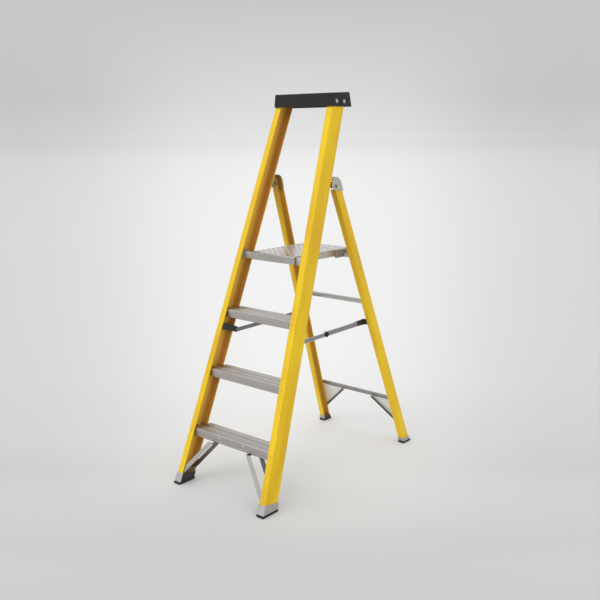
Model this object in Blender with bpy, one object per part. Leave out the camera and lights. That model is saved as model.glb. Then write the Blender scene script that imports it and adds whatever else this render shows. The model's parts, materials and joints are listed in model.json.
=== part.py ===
"""Platform step ladder: glass-fibre channel stiles, three ribbed aluminium treads,
a tilting platform, a folding rear frame and a hinged stay on each side.

Units are metres.  +X is to the right of someone facing the treads, +Y points from
the treads to the rear frame, +Z is up.  The origin is on the floor, at the middle of
the footprint.
"""
import math

import bmesh
import bpy
from mathutils import Vector

# ----------------------------------------------------------------- driving dimensions
GAP = 0.0003                 # clearance between touching pieces

# stiles: channels with the web outside and the flanges pointing inwards
HALF_WIDTH_FLOOR = 0.2600    # outer face of the webs at floor level
TAPER = 0.0648               # the webs come together by this much per metre of height
STILE_WALL = 0.0040

FRONT_FACE_Y = -0.5313       # front face of the front stiles at floor level
FRONT_LEAN = 0.3560          # the front frame leans back, dy/dz
FRONT_DEPTH = 0.0807         # horizontal depth of the front channel
FRONT_FLANGE = 0.0300
FRONT_BOTTOM_Z = 0.0165
FRONT_TOP_Z = 1.6300

REAR_FACE_Y = 0.4833         # front face of the rear stiles at floor level
REAR_LEAN = -0.3635          # the rear frame leans forward
REAR_DEPTH = 0.0480
REAR_FLANGE = 0.0270
REAR_BOTTOM_Z = 0.0165

# treads
TREAD_RISE = 0.2500
TREAD_1_TOP = 0.2365
TREAD_SETBACK = 0.0060       # behind the front face of the stiles
TREAD_DEPTH = 0.0880
TREAD_FRONT_H = 0.0350
TREAD_REAR_H = 0.0240
TREAD_WALL = 0.0026
TREAD_RIBS = 11

# top cap
CAP_BOTTOM_Z = 1.5915
CAP_TOP_Z = 1.6445            # flat of the tool recess
CAP_RIM_FRONT = 0.0015        # the rim stands above it by this much at the front
CAP_RIM_REAR = 0.0080         # and by this much at the rear
CAP_WALL = 0.0030

# feet
SOLE_H = 0.0090
SHOE_WALL = 0.0025
SHOE_TOP_FRONT = 0.0480
SHOE_TOP_REAR = 0.0360

# pivots, (y, z)
MAIN_PIVOT = (0.0327, 1.2640)
STAY_FRONT_PIVOT = (-0.2063, 0.6350)
STAY_KNUCKLE = (-0.0315, 0.6366)
STAY_REAR_PIVOT = (0.1837, 0.6385)
PLATFORM_PIVOT = (-0.1463, 0.9660)

# stay layers, distance from the middle plane
X_FRONT_EAR = (0.1845, 0.1875)
X_FRONT_ARM = (0.1805, 0.1840)
X_REAR_ARM = (0.1760, 0.1798)
X_REAR_EAR = (0.1715, 0.1755)

# platform
DECK_HALF_W = 0.1250
DECK_FRONT_Y = -0.1743
DECK_REAR_Y = 0.2037
DECK_TOP_Z = 0.9840
DECK_WALL = 0.0030
DECK_LIP_H = 0.0330
DECK_SKIRT_H = 0.0300

# rear frame bars: (middle height on the rear face, bar height)
BAR_LOWER = (0.2225, 0.0210)
BAR_UPPER = (0.7270, 0.0230)
BAR_SUPPORT = (0.9490, 0.0220)
BAR_DEPTH = 0.0120
BAR_WALL = 0.0020

GUSSET_X = 0.0830            # where the diagonal meets the lower bar
GUSSET_LOW_Z = 0.0820        # where it meets the stile
GUSSET_FLANGE = 0.0130

ROUND = 16                   # facets round a pin


def half_width(z):
    """Outer face of the webs at height z."""
    return HALF_WIDTH_FLOOR - TAPER * z


def front_y(z):
    return FRONT_FACE_Y + FRONT_LEAN * z


def rear_y(z):
    return REAR_FACE_Y + REAR_LEAN * z


# ----------------------------------------------------------------- scene and materials
for old in list(bpy.data.objects):
    bpy.data.objects.remove(old, do_unlink=True)


def material(name, colour, roughness, metallic=0.0):
    mat = bpy.data.materials.new(name)
    mat.use_nodes = True
    shader = mat.node_tree.nodes["Principled BSDF"]
    shader.inputs["Base Color"].default_value = (*colour, 1.0)
    shader.inputs["Roughness"].default_value = roughness
    shader.inputs["Metallic"].default_value = metallic
    mat.diffuse_color = (*colour, 1.0)
    return mat


YELLOW = ("yellow", (0.83, 0.55, 0.03), 0.45, 0.0)
ALU = ("aluminium", (0.62, 0.60, 0.57), 0.40, 1.0)
BLACK = ("black", (0.03, 0.03, 0.032), 0.50, 0.0)
RUBBER = ("rubber", (0.018, 0.018, 0.018), 0.75, 0.0)
STEEL = ("steel", (0.55, 0.55, 0.56), 0.35, 1.0)
GREY = ("grey", (0.42, 0.43, 0.46), 0.50, 0.0)


def finish_object(name, bm, look, smooth=None):
    """Turn a bmesh into a named object with its own material."""
    bmesh.ops.remove_doubles(bm, verts=bm.verts, dist=1e-6)
    bmesh.ops.recalc_face_normals(bm, faces=bm.faces)
    mesh = bpy.data.meshes.new(name)
    bm.to_mesh(mesh)
    bm.free()
    if smooth is not None:
        mesh.shade_smooth()
        mesh.set_sharp_from_angle(angle=math.radians(smooth))
    obj = bpy.data.objects.new(name, mesh)
    bpy.context.scene.collection.objects.link(obj)
    mesh.materials.append(material(name + "_" + look[0], *look[1:]))
    return obj


# ----------------------------------------------------------------- solid builders
def loft(name, rings, look, smooth=None):
    """Closed solid through rings of equal point count; the two ends are capped."""
    bm = bmesh.new()
    loops = [[bm.verts.new(p) for p in ring] for ring in rings]
    count = len(loops[0])
    for low, high in zip(loops, loops[1:]):
        for i in range(count):
            j = (i + 1) % count
            bm.faces.new((low[i], low[j], high[j], high[i]))
    bm.faces.new(list(reversed(loops[0])))
    bm.faces.new(loops[-1])
    return finish_object(name, bm, look, smooth)


def fillet(points, radii, steps=4):
    """Round the corners of a 2-D outline; radii is one number or one per corner."""
    if not isinstance(radii, (list, tuple)):
        radii = [radii] * len(points)
    out = []
    count = len(points)
    for i, (px, py) in enumerate(points):
        radius = radii[i]
        here = Vector((px, py))
        if radius <= 0:
            out.append((px, py))
            continue
        before = (Vector(points[i - 1]) - here).normalized()
        after = (Vector(points[(i + 1) % count]) - here).normalized()
        angle = before.angle(after)
        back = radius / math.tan(angle / 2)
        start, end = here + before * back, here + after * back
        centre = here + (before + after).normalized() * (radius / math.sin(angle / 2))
        a0 = math.atan2(start.y - centre.y, start.x - centre.x)
        a1 = math.atan2(end.y - centre.y, end.x - centre.x)
        sweep = (a1 - a0 + math.pi) % (2 * math.pi) - math.pi
        for k in range(steps + 1):
            a = a0 + sweep * k / steps
            out.append((centre.x + radius * math.cos(a), centre.y + radius * math.sin(a)))
    return out


def slab(name, outline, x0, x1, look, smooth=None):
    """Outline in (y, z), extruded along X from x0 to x1."""
    return loft(name, [[(x, y, z) for y, z in outline] for x in (x0, x1)], look, smooth)


def turned(name, centre, steps, look, facets=ROUND, smooth=35):
    """Solid turned about an X-parallel axis through centre (y, z).
    steps is a list of (x, radius) along the axis."""
    rings = []
    for x, radius in steps:
        rings.append([(x, centre[0] + radius * math.cos(2 * math.pi * i / facets),
                       centre[1] + radius * math.sin(2 * math.pi * i / facets))
                      for i in range(facets)])
    return loft(name, rings, look, smooth)


def helper(obj):
    """A cutter or an added lump: not part of the object in its own right."""
    obj.hide_render = True
    obj.display_type = "WIRE"
    return obj


def boolean(obj, other, operation):
    mod = obj.modifiers.new(operation.lower() + "_" + other.name, "BOOLEAN")
    mod.operation = operation
    mod.object = helper(other)
    mod.solver = "EXACT"
    return obj


def cut(obj, cutter):
    return boolean(obj, cutter, "DIFFERENCE")


def join(obj, lump):
    return boolean(obj, lump, "UNION")


def disc(centre, radius, facets=ROUND, start=0.0):
    return [(centre[0] + radius * math.cos(start + 2 * math.pi * i / facets),
             centre[1] + radius * math.sin(start + 2 * math.pi * i / facets))
            for i in range(facets)]


def hole(obj, name, centre, radius, x0, x1):
    """Round hole through obj along X."""
    return cut(obj, slab(name, disc(centre, radius), x0, x1, STEEL))


def capsule(a, b, radius, facets=8):
    """Outline of a bar with round ends between two points."""
    a, b = Vector(a), Vector(b)
    along = (b - a).normalized()
    angle = math.atan2(along.y, along.x)
    pts = []
    for centre, base in ((b, angle - math.pi / 2), (a, angle + math.pi / 2)):
        for i in range(facets + 1):
            t = base + math.pi * i / facets
            pts.append((centre.x + radius * math.cos(t), centre.y + radius * math.sin(t)))
    return pts


SIDES = (("left", -1), ("right", 1))


# ----------------------------------------------------------------- stiles
def channel_section(depth, flange, wall_web, wall_flange):
    """Channel outline in (a, b): a inwards from the web, b rearwards from the front."""
    pts = [(0, 0), (flange, 0), (flange, wall_flange), (wall_web, wall_flange),
           (wall_web, depth - wall_flange), (flange, depth - wall_flange),
           (flange, depth), (0, depth)]
    radii = [0.0040, 0.0015, 0.0015, 0.0020, 0.0020, 0.0015, 0.0015, 0.0040]
    return fillet(pts, radii, 3)


def stile(name, side, section, face, z0, z1):
    rings = [[(side * (half_width(z) - a), face(z) + b, z) for a, b in section]
             for z in (z0, z1)]
    return loft(name, rings, YELLOW, 40)


FRONT_SECTION = channel_section(FRONT_DEPTH, FRONT_FLANGE, STILE_WALL, 0.0042)
REAR_SECTION = channel_section(REAR_DEPTH, REAR_FLANGE, STILE_WALL, 0.0042)

# the rear stile ends square to its own length, below the main pivot
rear_dir = Vector((REAR_LEAN, 1.0)).normalized()          # up the rear stile, (y, z)
rear_out = Vector((rear_dir.y, -rear_dir.x))              # across it, to the rear
END_BELOW = 0.0140            # the front flange is cut back to here below the pivot
CHEEK_BELOW = 0.0350          # the end bracket reaches down to here at the rear


def rear_at(along, across):
    """(y, z) at a distance below the main pivot and behind the stile's front face."""
    base = Vector(MAIN_PIVOT)
    face0 = Vector((REAR_FACE_Y, 0.0))
    off = (base - face0).dot(rear_out)
    point = base - rear_dir * along + rear_out * (across - off)
    return (point.x, point.y)


REAR_PERP = REAR_DEPTH * rear_dir.y                       # true depth of the rear channel
END_RADIUS = REAR_PERP - (Vector(MAIN_PIVOT) - Vector((REAR_FACE_Y, 0.0))).dot(rear_out)

for label, s in SIDES:
    stile("front_stile_" + label, s, FRONT_SECTION, front_y, FRONT_BOTTOM_Z, FRONT_TOP_Z)
    rear = stile("rear_stile_" + label, s, REAR_SECTION, rear_y, REAR_BOTTOM_Z, 1.3300)
    # round end about the main pivot
    pivot = Vector(MAIN_PIVOT)
    start = math.atan2(rear_out.y, rear_out.x)
    arc = [(pivot.x + END_RADIUS * math.cos(start + math.pi * i / 16),
            pivot.y + END_RADIUS * math.sin(start + math.pi * i / 16)) for i in range(17)]
    far = [(pivot.x + 0.16 * math.cos(start + math.pi * i / 4),
            pivot.y + 0.16 * math.sin(start + math.pi * i / 4)) for i in (4, 3, 2, 1, 0)]
    cut(rear, slab("cut_rear_top_" + label, arc + far, s * 0.10, s * 0.24, YELLOW))
    # the front flange stops below the pivot, to let the lug of the front frame in
    notch = [rear_at(END_BELOW, -0.03), rear_at(END_BELOW, 0.0068),
             rear_at(-0.06, 0.0068), rear_at(-0.06, -0.03)]
    cut(rear, slab("cut_rear_notch_" + label, notch, s * 0.10, s * 0.1716, YELLOW))
    hole(rear, "cut_rear_hole_" + label, MAIN_PIVOT, 0.0044, s * 0.16, s * 0.19)


# ----------------------------------------------------------------- feet
def foot(prefix, label, s, face, depth, flange, top_front, top_rear):
    """Sleeve round the foot of a stile, and the rubber sole under it."""
    def ring(grow, z_at, wall=0.0):
        pts = []
        for a, b in ((-grow, -grow), (flange + grow, -grow),
                     (flange + grow, depth + grow), (-grow, depth + grow)):
            z = z_at(b / depth)
            pts.append((s * (half_width(z) - a), face(z) + b, z))
        return pts

    def top(t):
        t = min(1.0, max(0.0, t))
        return top_front + (top_rear - top_front) * t

    floor_in = FRONT_BOTTOM_Z - GAP
    loft(prefix + "_shoe_" + label, [
        ring(SHOE_WALL, lambda t: SOLE_H + GAP),
        ring(SHOE_WALL, top),
        ring(GAP, top),
        ring(GAP, lambda t: floor_in)], GREY)
    loft(prefix + "_sole_" + label, [
        ring(SHOE_WALL - 0.0005, lambda t: 0.0),
        ring(SHOE_WALL + 0.0010, lambda t: 0.0022),
        ring(SHOE_WALL + 0.0010, lambda t: SOLE_H)], RUBBER)


for label, s in SIDES:
    foot("front", label, s, front_y, FRONT_DEPTH, FRONT_FLANGE, SHOE_TOP_FRONT, SHOE_TOP_REAR)
    foot("rear", label, s, rear_y, REAR_DEPTH, REAR_FLANGE, 0.0275, 0.0275)


# ----------------------------------------------------------------- treads
def tread_section():
    """Ribbed tread outline in (b, h): b rearwards, h downwards from the top."""
    lip = 0.0070
    pts = [(0, -TREAD_FRONT_H), (0, -0.0040), (0.0014, -0.0010), (0.0045, 0.0)]
    pitch = (TREAD_DEPTH - 0.0130) / TREAD_RIBS
    for i in range(TREAD_RIBS):
        b = 0.0065 + i * pitch
        pts += [(b, 0.0), (b + 0.0005, -0.0010),
                (b + pitch - 0.0032, -0.0010), (b + pitch - 0.0027, 0.0)]
    pts += [(TREAD_DEPTH - 0.0014, 0.0), (TREAD_DEPTH, -0.0014),
            (TREAD_DEPTH, -TREAD_REAR_H), (TREAD_DEPTH - TREAD_WALL, -TREAD_REAR_H),
            (TREAD_DEPTH - TREAD_WALL, -0.0036), (TREAD_WALL, -0.0036),
            (TREAD_WALL, -TREAD_FRONT_H + TREAD_WALL),
            (lip, -TREAD_FRONT_H + TREAD_WALL), (lip, -TREAD_FRONT_H)]
    return pts


for number in (1, 2, 3):
    top_z = TREAD_1_TOP + (number - 1) * TREAD_RISE
    y0 = front_y(top_z) + TREAD_SETBACK
    outline = [(y0 + b, top_z + h) for b, h in tread_section()]
    rings = [[(s * (half_width(z) - STILE_WALL - 0.0006), y, z) for y, z in outline]
             for s in (-1, 1)]
    tread = loft("tread_%d" % number, rings, ALU)
    # the ends fit between the flanges; the depth behind them is notched away
    low, high = top_z - 0.06, top_z + 0.02
    for label, s in SIDES:
        edge = []
        for z in (low, high):
            inner = half_width(z) - FRONT_FLANGE - 0.0010
            yb = front_y(z) + FRONT_DEPTH - 0.0042 - 0.0008
            edge.append([(s * inner, yb, z), (s * (inner + 0.05), yb, z),
                         (s * (inner + 0.05), yb + 0.08, z), (s * inner, yb + 0.08, z)])
        cut(tread, loft("cut_tread_%d_%s" % (number, label), edge, ALU))


# ----------------------------------------------------------------- braces under tread 1
def brace(label, s):
    """Brace from under tread 1 to the foot of the stile: a front and a rear strap, each
    riveted just inside a flange of the stile, tied by a short web at either end."""
    top_x, top_z = 0.0970, TREAD_1_TOP - TREAD_FRONT_H - GAP - 0.0002
    low_x, low_z = 0.2225, SHOE_TOP_FRONT + 0.0024
    flange, wall = 0.0200, 0.0022
    depth0, depth1 = 0.0052, 0.0750
    run = Vector((low_x - top_x, low_z - top_z)).normalized()
    up = Vector((-run.y, run.x))                       # away from the floor, outwards
    prof = [(0, 0), (depth1 - depth0, 0), (depth1 - depth0, flange),
            (depth1 - depth0 - wall, flange), (depth1 - depth0 - wall, wall),
            (wall, wall), (wall, flange), (0, flange)]
    rings = []
    for x, z in ((top_x, top_z), (low_x, low_z)):      # both ends are cut level
        ring = []
        for b, h in prof:
            px, pz = x + up.x * h, z + up.y * h
            px += run.x * (z - pz) / run.y
            ring.append((s * px, front_y(z) + depth0 + b, z))
        rings.append(ring)
    strut = loft("tread_brace_" + label, rings, ALU)
    # a long window leaves a front and a rear strap, tied together at both ends
    length = math.dist((top_x, top_z), (low_x, low_z))
    rings = []
    for along in (0.0120, length - 0.0160):
        ring = []
        for b, h in ((wall + 0.0012, -0.0040), (depth1 - depth0 - wall - 0.0012, -0.0040),
                     (depth1 - depth0 - wall - 0.0012, 0.0300), (wall + 0.0012, 0.0300)):
            px = top_x + run.x * along + up.x * h
            pz = top_z + run.y * along + up.y * h
            ring.append((s * px, front_y(pz) + depth0 + b, pz))
        rings.append(ring)
    return cut(strut, loft("cut_brace_" + label, rings, ALU))


for label, s in SIDES:
    brace(label, s)


# ----------------------------------------------------------------- top cap
CAP_Y0, CAP_Y1 = 0.0290, 0.1560


def cap_ring(z, grow, rim=False):
    """Outline of the cap at height z; grow moves it outwards.  With rim set, the ring
    rises towards the rear, as the rim does."""
    t = (z - CAP_BOTTOM_Z) / (CAP_TOP_Z - CAP_BOTTOM_Z)
    hw = 0.1612 - 0.0046 * t + grow
    y0, y1 = CAP_Y0 + 0.0010 * t - grow, CAP_Y1 + 0.0100 - 0.0100 * t + grow
    pts = fillet([(-hw, y0), (hw, y0), (hw, y1), (-hw, y1)], 0.0050, 3)
    out = []
    for x, y in pts:
        lift = 0.0
        if rim:
            lift = CAP_RIM_FRONT + (CAP_RIM_REAR - CAP_RIM_FRONT) * (y - y0) / (y1 - y0)
        out.append((x, y, z + lift))
    return out


cap = loft("top_cap", [cap_ring(CAP_BOTTOM_Z, 0),
                       cap_ring(CAP_TOP_Z - 0.0030, 0, True),
                       cap_ring(CAP_TOP_Z - 0.0009, -0.0009, True),
                       cap_ring(CAP_TOP_Z, -0.0026, True)], BLACK, 40)
cap_core = loft("cut_cap_core", [
    [(x, y, z) for x, y in fillet([(-hw, y0), (hw, y0), (hw, y1), (-hw, y1)], 0.003, 3)]
    for z, hw, y0, y1 in ((CAP_BOTTOM_Z - 0.01, 0.1582, 0.0320, 0.1640),
                          (FRONT_TOP_Z + GAP + 0.0010, 0.1547, 0.0328, 0.1545))], BLACK)
cut(cap, cap_core)
cap_tray = loft("cut_cap_tray", [
    [(x, y, z) for x, y in fillet([(-hw, CAP_Y0 + d), (hw, CAP_Y0 + d),
                                   (hw, CAP_Y1 - d), (-hw, CAP_Y1 - d)], 0.004, 3)]
    for z, hw, d in ((CAP_TOP_Z, 0.1490, 0.0068), (CAP_TOP_Z + 0.02, 0.1520, 0.0040))], BLACK)
cut(cap, cap_tray)

# cap bolts, two through each end wall and the stile's web
for label, s in SIDES:
    for where, y in (("front", 0.0625), ("rear", 0.1130)):
        z = 1.6130
        centre = (y, z)
        outer = 0.1612 - 0.0046 * (z - CAP_BOTTOM_Z) / (CAP_TOP_Z - CAP_BOTTOM_Z)
        web_in = half_width(z) - STILE_WALL
        hole(cap, "cut_cap_%s_%s" % (label, where), centre, 0.0031, s * 0.13, s * 0.18)
        hole(bpy.data.objects["front_stile_" + label],
             "cut_capstile_%s_%s" % (label, where), centre, 0.0031, s * 0.13, s * 0.18)
        turned("cap_bolt_%s_%s" % (label, where), centre,
               [(s * (web_in - 0.0036), 0.0035), (s * (web_in - 0.0030), 0.0048),
                (s * (web_in - 0.0006), 0.0048), (s * (web_in - 0.0006), 0.0027),
                (s * (outer + 0.0012), 0.0027), (s * (outer + 0.0012), 0.0062),
                (s * (outer + 0.0019), 0.0057), (s * (outer + 0.0027), 0.0030)], STEEL)


# ----------------------------------------------------------------- main pivots
LUG_X = (0.1590, 0.1690)
front_dir = Vector((FRONT_LEAN, 1.0)).normalized()
front_back = Vector((front_dir.y, -front_dir.x))


def on_front_rear_face(along, behind):
    """(y, z) measured from the foot of the perpendicular from the main pivot onto the
    rear face of the front stile: up the stile, and away from it to the rear."""
    face = Vector((FRONT_FACE_Y + FRONT_DEPTH, 0.0))
    pivot = Vector(MAIN_PIVOT)
    base = pivot - front_back * (pivot - face).dot(front_back)
    point = base + front_dir * along + front_back * behind
    return (point.x, point.y)


def beside_web(outline, grow0, grow1, s):
    """Outline in (y, z) extruded beside the stile's web, between two offsets from it."""
    return [[(s * (half_width(z) + g), y, z) for y, z in outline] for g in (grow0, grow1)]


for label, s in SIDES:
    # lug riveted to the rear flange of the front stile
    pivot = Vector(MAIN_PIVOT)
    plate = [on_front_rear_face(a, d) for a, d in
             ((-0.0300, GAP), (0.0300, GAP), (0.0300, 0.0034), (-0.0300, 0.0034))]
    lug = slab("pivot_lug_" + label, plate, s * 0.1512, s * 0.1700, ALU)
    nose = []
    for i in range(13):
        t = math.atan2(front_back.y, front_back.x) + math.pi / 2 - math.pi * i / 12
        nose.append((pivot.x + 0.0100 * math.cos(t), pivot.y + 0.0100 * math.sin(t)))
    tongue = [on_front_rear_face(0.0150, 0.0020)] + nose + [on_front_rear_face(-0.0105, 0.0020)]
    join(lug, slab("add_lug_" + label, tongue, s * LUG_X[0], s * LUG_X[1], ALU))
    hole(lug, "cut_lug_" + label, MAIN_PIVOT, 0.0044, s * 0.15, s * 0.18)

    # round-topped bracket: a plate outside the web and a rim over the end of the stile
    start = math.atan2(rear_out.y, rear_out.x)
    outer_r, inner_r = END_RADIUS + 0.0029, END_RADIUS + GAP
    out_arc, in_arc = [], []
    for i in range(11):
        t = start + math.radians(86) * i / 10
        out_arc.append((pivot.x + outer_r * math.cos(t), pivot.y + outer_r * math.sin(t)))
        in_arc.append((pivot.x + inner_r * math.cos(t), pivot.y + inner_r * math.sin(t)))
    front_arc = []
    for k, r in ((104, 0.0360), (122, 0.0310), (140, 0.0285), (158, 0.0272), (176, 0.0272)):
        t = start + math.radians(k)
        front_arc.append((pivot.x + r * math.cos(t), pivot.y + r * math.sin(t)))
    low_front = rear_at(END_BELOW + 0.0010, 0.0006)
    low_back = rear_at(CHEEK_BELOW, REAR_PERP + 0.0029)
    low_back_in = rear_at(CHEEK_BELOW, REAR_PERP + GAP)
    cheek = [low_back] + out_arc + front_arc + [low_front]
    bracket = loft("pivot_bracket_" + label, beside_web(cheek, GAP, 0.0030, s), ALU)
    rim = [low_back] + out_arc + list(reversed(in_arc)) + [low_back_in]
    join(bracket, loft("add_rim_" + label, beside_web(rim, -REAR_FLANGE, 0.0026, s), ALU))
    hole(bracket, "cut_bracket_" + label, MAIN_PIVOT, 0.0044, s * 0.16, s * 0.19)

    turned("pivot_bolt_" + label, MAIN_PIVOT,
           [(s * 0.1532, 0.0045), (s * 0.1540, 0.0068), (s * 0.1586, 0.0068),
            (s * 0.1586, 0.0040), (s * 0.1818, 0.0040), (s * 0.1818, 0.0082),
            (s * 0.1832, 0.0076), (s * 0.1843, 0.0045)], STEEL)


# ----------------------------------------------------------------- rear frame bars
def bar_z(off):
    return off


def rear_bar(name, middle, height, reach=None):
    """Channel bar riveted across the rear faces of the rear stiles, with a shallow
    groove pressed along its front face."""
    back = REAR_DEPTH + 0.0006
    half = height / 2
    prof = [(0, -half), (0, -0.0035), (0.0016, -0.0018), (0.0016, 0.0018), (0, 0.0035),
            (0, half), (BAR_DEPTH, half), (BAR_DEPTH, half - BAR_WALL),
            (BAR_WALL + 0.0016, half - BAR_WALL), (BAR_WALL + 0.0016, -half + BAR_WALL),
            (BAR_DEPTH, -half + BAR_WALL), (BAR_DEPTH, -half)]
    rings = []
    for s in (-1, 1):
        ring = []
        for b, h in prof:
            z = middle + h
            x = half_width(z) - 0.0150
            ring.append((s * x, rear_y(z) + back + b, z))
        rings.append(ring)
    return loft(name, rings, ALU)


rear_bar("rear_crossbar_lower", *BAR_LOWER)
rear_bar("rear_crossbar_upper", *BAR_UPPER)
rear_bar("platform_support_bar", *BAR_SUPPORT)

for label, s in SIDES:
    # gusset: a plate behind the rear flange, folded forward along its diagonal
    top_z = BAR_LOWER[0] - BAR_LOWER[1] / 2 - 0.0004
    back = REAR_DEPTH + 0.0006
    wall = 0.0018
    x_in = GUSSET_X
    def spot(x, z, b):
        return (s * x, rear_y(z) + b, z)
    tip_x = half_width(GUSSET_LOW_Z) - 0.0100
    plate = [spot(x_in, top_z, back), spot(half_width(top_z) - 0.0100, top_z, back),
             spot(tip_x, GUSSET_LOW_Z, back), spot(tip_x - 0.0170, GUSSET_LOW_Z, back)]
    rings = [plate, [(x, y + wall, z) for x, y, z in plate]]
    gusset = loft("rear_gusset_" + label, rings, ALU)
    edge_x = half_width(GUSSET_LOW_Z) - REAR_FLANGE - 0.0010
    diag = Vector((tip_x - 0.0170 - x_in, GUSSET_LOW_Z - top_z)).normalized()
    across = Vector((-diag.y, diag.x)) * wall           # into the plate
    fold = []
    end_t = (edge_x - 0.0004 - x_in) / diag.x
    for b in (back + wall, back - GUSSET_FLANGE):
        ring = []
        for t, k in ((0.0005, 0), (end_t, 0), (end_t - 0.0020, 1), (0.0045, 1)):
            x = x_in + diag.x * t + across.x * k
            z = top_z + diag.y * t + across.y * k
            ring.append(spot(x, z, b))
        fold.append(ring)
    join(gusset, loft("add_gusset_" + label, fold, ALU))


# ----------------------------------------------------------------- stays
STAY_BLOCK_Z = 0.6550         # middle of the front bracket, half-way across the stile
STAY_BLOCK_H = 0.0260
for label, s in SIDES:
    # front bracket: a block square to the front stile, inside its channel, with an ear
    # that reaches behind it
    fy, fz = STAY_FRONT_PIVOT

    def face_z(b, up):
        """Lower (-1) or upper (+1) face of the block, b behind the front of the stile."""
        return STAY_BLOCK_Z + up * STAY_BLOCK_H / 2 \
            - (b - FRONT_DEPTH / 2) * FRONT_LEAN / (1 + FRONT_LEAN ** 2)

    rings = []
    for up in (-1, 1):
        ring = []
        for b, outside in ((0.0050, 0), (0.0050, 1),
                           (FRONT_DEPTH - 0.0050, 1), (FRONT_DEPTH - 0.0050, 0)):
            z = face_z(b, up)
            x = half_width(z) - STILE_WALL - 0.0006 if outside else X_FRONT_EAR[0] + 0.0005
            ring.append((s * x, front_y(z) + b, z))
        rings.append(ring)
    block = loft("stay_bracket_front_" + label, rings, BLACK)
    ear = []
    for b, up in ((0.0060, -1), (FRONT_DEPTH - 0.0200, -1)):
        z = face_z(b, up) + 0.0004
        ear.append((front_y(z) + b, z))
    ear += [(fy + 0.0120 * math.cos(t), fz + 0.0120 * math.sin(t))
            for t in [math.radians(-100 + 170 * i / 10) for i in range(11)]]
    for b, up in ((FRONT_DEPTH - 0.0080, 1), (0.0060, 1)):
        z = face_z(b, up) - 0.0004
        ear.append((front_y(z) + b, z))
    join(block, slab("add_front_ear_" + label, ear, s * X_FRONT_EAR[0], s * X_FRONT_EAR[1], BLACK))
    hole(block, "cut_front_ear_" + label, STAY_FRONT_PIVOT, 0.0035, s * 0.17, s * 0.20)
    turned("stay_pin_front_" + label, STAY_FRONT_PIVOT,
           [(s * 0.1902, 0.0040), (s * 0.1894, 0.0058), (s * 0.1878, 0.0058),
            (s * 0.1878, 0.0031), (s * 0.1806, 0.0031)], STEEL)

    # rear bracket: a foot behind the front flange of the rear stile, and an ear that
    # reaches forwards past the edge of the flange to the pivot
    ry, rz = STAY_REAR_PIVOT
    z0, z1 = rz - 0.0140, rz + 0.0140
    ear = [(rear_y(z0) + STILE_WALL + 0.0037, z0), (rear_y(z1) + STILE_WALL + 0.0037, z1)] + \
          [(ry + 0.0110 * math.cos(t), rz + 0.0110 * math.sin(t))
           for t in [math.radians(105 + 150 * i / 10) for i in range(11)]]
    rear_ear = slab("stay_bracket_rear_" + label, ear, s * X_REAR_EAR[0], s * X_REAR_EAR[1], BLACK)
    rings = []
    for z in (z0, z1):
        x_out = half_width(z) - 0.0100
        y1 = rear_y(z) + STILE_WALL + 0.0037
        rings.append([(s * (X_REAR_EAR[0] + 0.0004), y1 - 0.0032, z), (s * x_out, y1 - 0.0032, z),
                      (s * x_out, y1, z), (s * (X_REAR_EAR[0] + 0.0004), y1, z)])
    join(rear_ear, loft("add_rear_foot_" + label, rings, BLACK))
    hole(rear_ear, "cut_rear_ear_" + label, STAY_REAR_PIVOT, 0.0035, s * 0.16, s * 0.19)
    turned("stay_pin_rear_" + label, STAY_REAR_PIVOT,
           [(s * 0.1688, 0.0040), (s * 0.1696, 0.0058), (s * 0.1712, 0.0058),
            (s * 0.1712, 0.0031), (s * 0.1797, 0.0031)], STEEL)

    # arms: they lie side by side, so that they pass each other as the ladder folds
    front_arm = slab("stay_front_arm_" + label,
                     capsule(STAY_FRONT_PIVOT, STAY_KNUCKLE, 0.0090),
                     s * X_FRONT_ARM[0], s * X_FRONT_ARM[1], ALU)
    hole(front_arm, "cut_front_arm_" + label, STAY_FRONT_PIVOT, 0.0035, s * 0.17, s * 0.20)
    rear_arm = slab("stay_rear_arm_" + label,
                    capsule(STAY_KNUCKLE, STAY_REAR_PIVOT, 0.0110),
                    s * X_REAR_ARM[0], s * X_REAR_ARM[1], ALU)
    hole(rear_arm, "cut_rear_arm_" + label, STAY_REAR_PIVOT, 0.0035, s * 0.16, s * 0.20)
    turned("knuckle_head_" + label, STAY_KNUCKLE,
           [(s * 0.1843, 0.0120), (s * 0.1862, 0.0116), (s * 0.1872, 0.0085)], BLACK)
    turned("knuckle_tail_" + label, STAY_KNUCKLE,
           [(s * 0.1757, 0.0120), (s * 0.1738, 0.0116), (s * 0.1728, 0.0085)], BLACK)


# ----------------------------------------------------------------- platform
deck_out = [(-DECK_HALF_W, DECK_FRONT_Y), (DECK_HALF_W, DECK_FRONT_Y),
            (DECK_HALF_W, DECK_REAR_Y), (-DECK_HALF_W, DECK_REAR_Y)]


def deck_ring(grow, z, radius):
    pts = [(-DECK_HALF_W - grow, DECK_FRONT_Y - grow), (DECK_HALF_W + grow, DECK_FRONT_Y - grow),
           (DECK_HALF_W + grow, DECK_REAR_Y + grow), (-DECK_HALF_W - grow, DECK_REAR_Y + grow)]
    return [(x, y, z) for x, y in fillet(pts, radius, 2)]


deck = loft("platform_deck", [
    deck_ring(-DECK_WALL, DECK_TOP_Z - DECK_WALL, 0.0020),
    deck_ring(-DECK_WALL, DECK_TOP_Z - DECK_LIP_H, 0.0020),
    deck_ring(0, DECK_TOP_Z - DECK_LIP_H, 0.0040),
    deck_ring(0, DECK_TOP_Z - 0.0035, 0.0040),
    deck_ring(-0.0010, DECK_TOP_Z - 0.0010, 0.0040),
    deck_ring(-0.0035, DECK_TOP_Z, 0.0040)], ALU)
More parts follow.
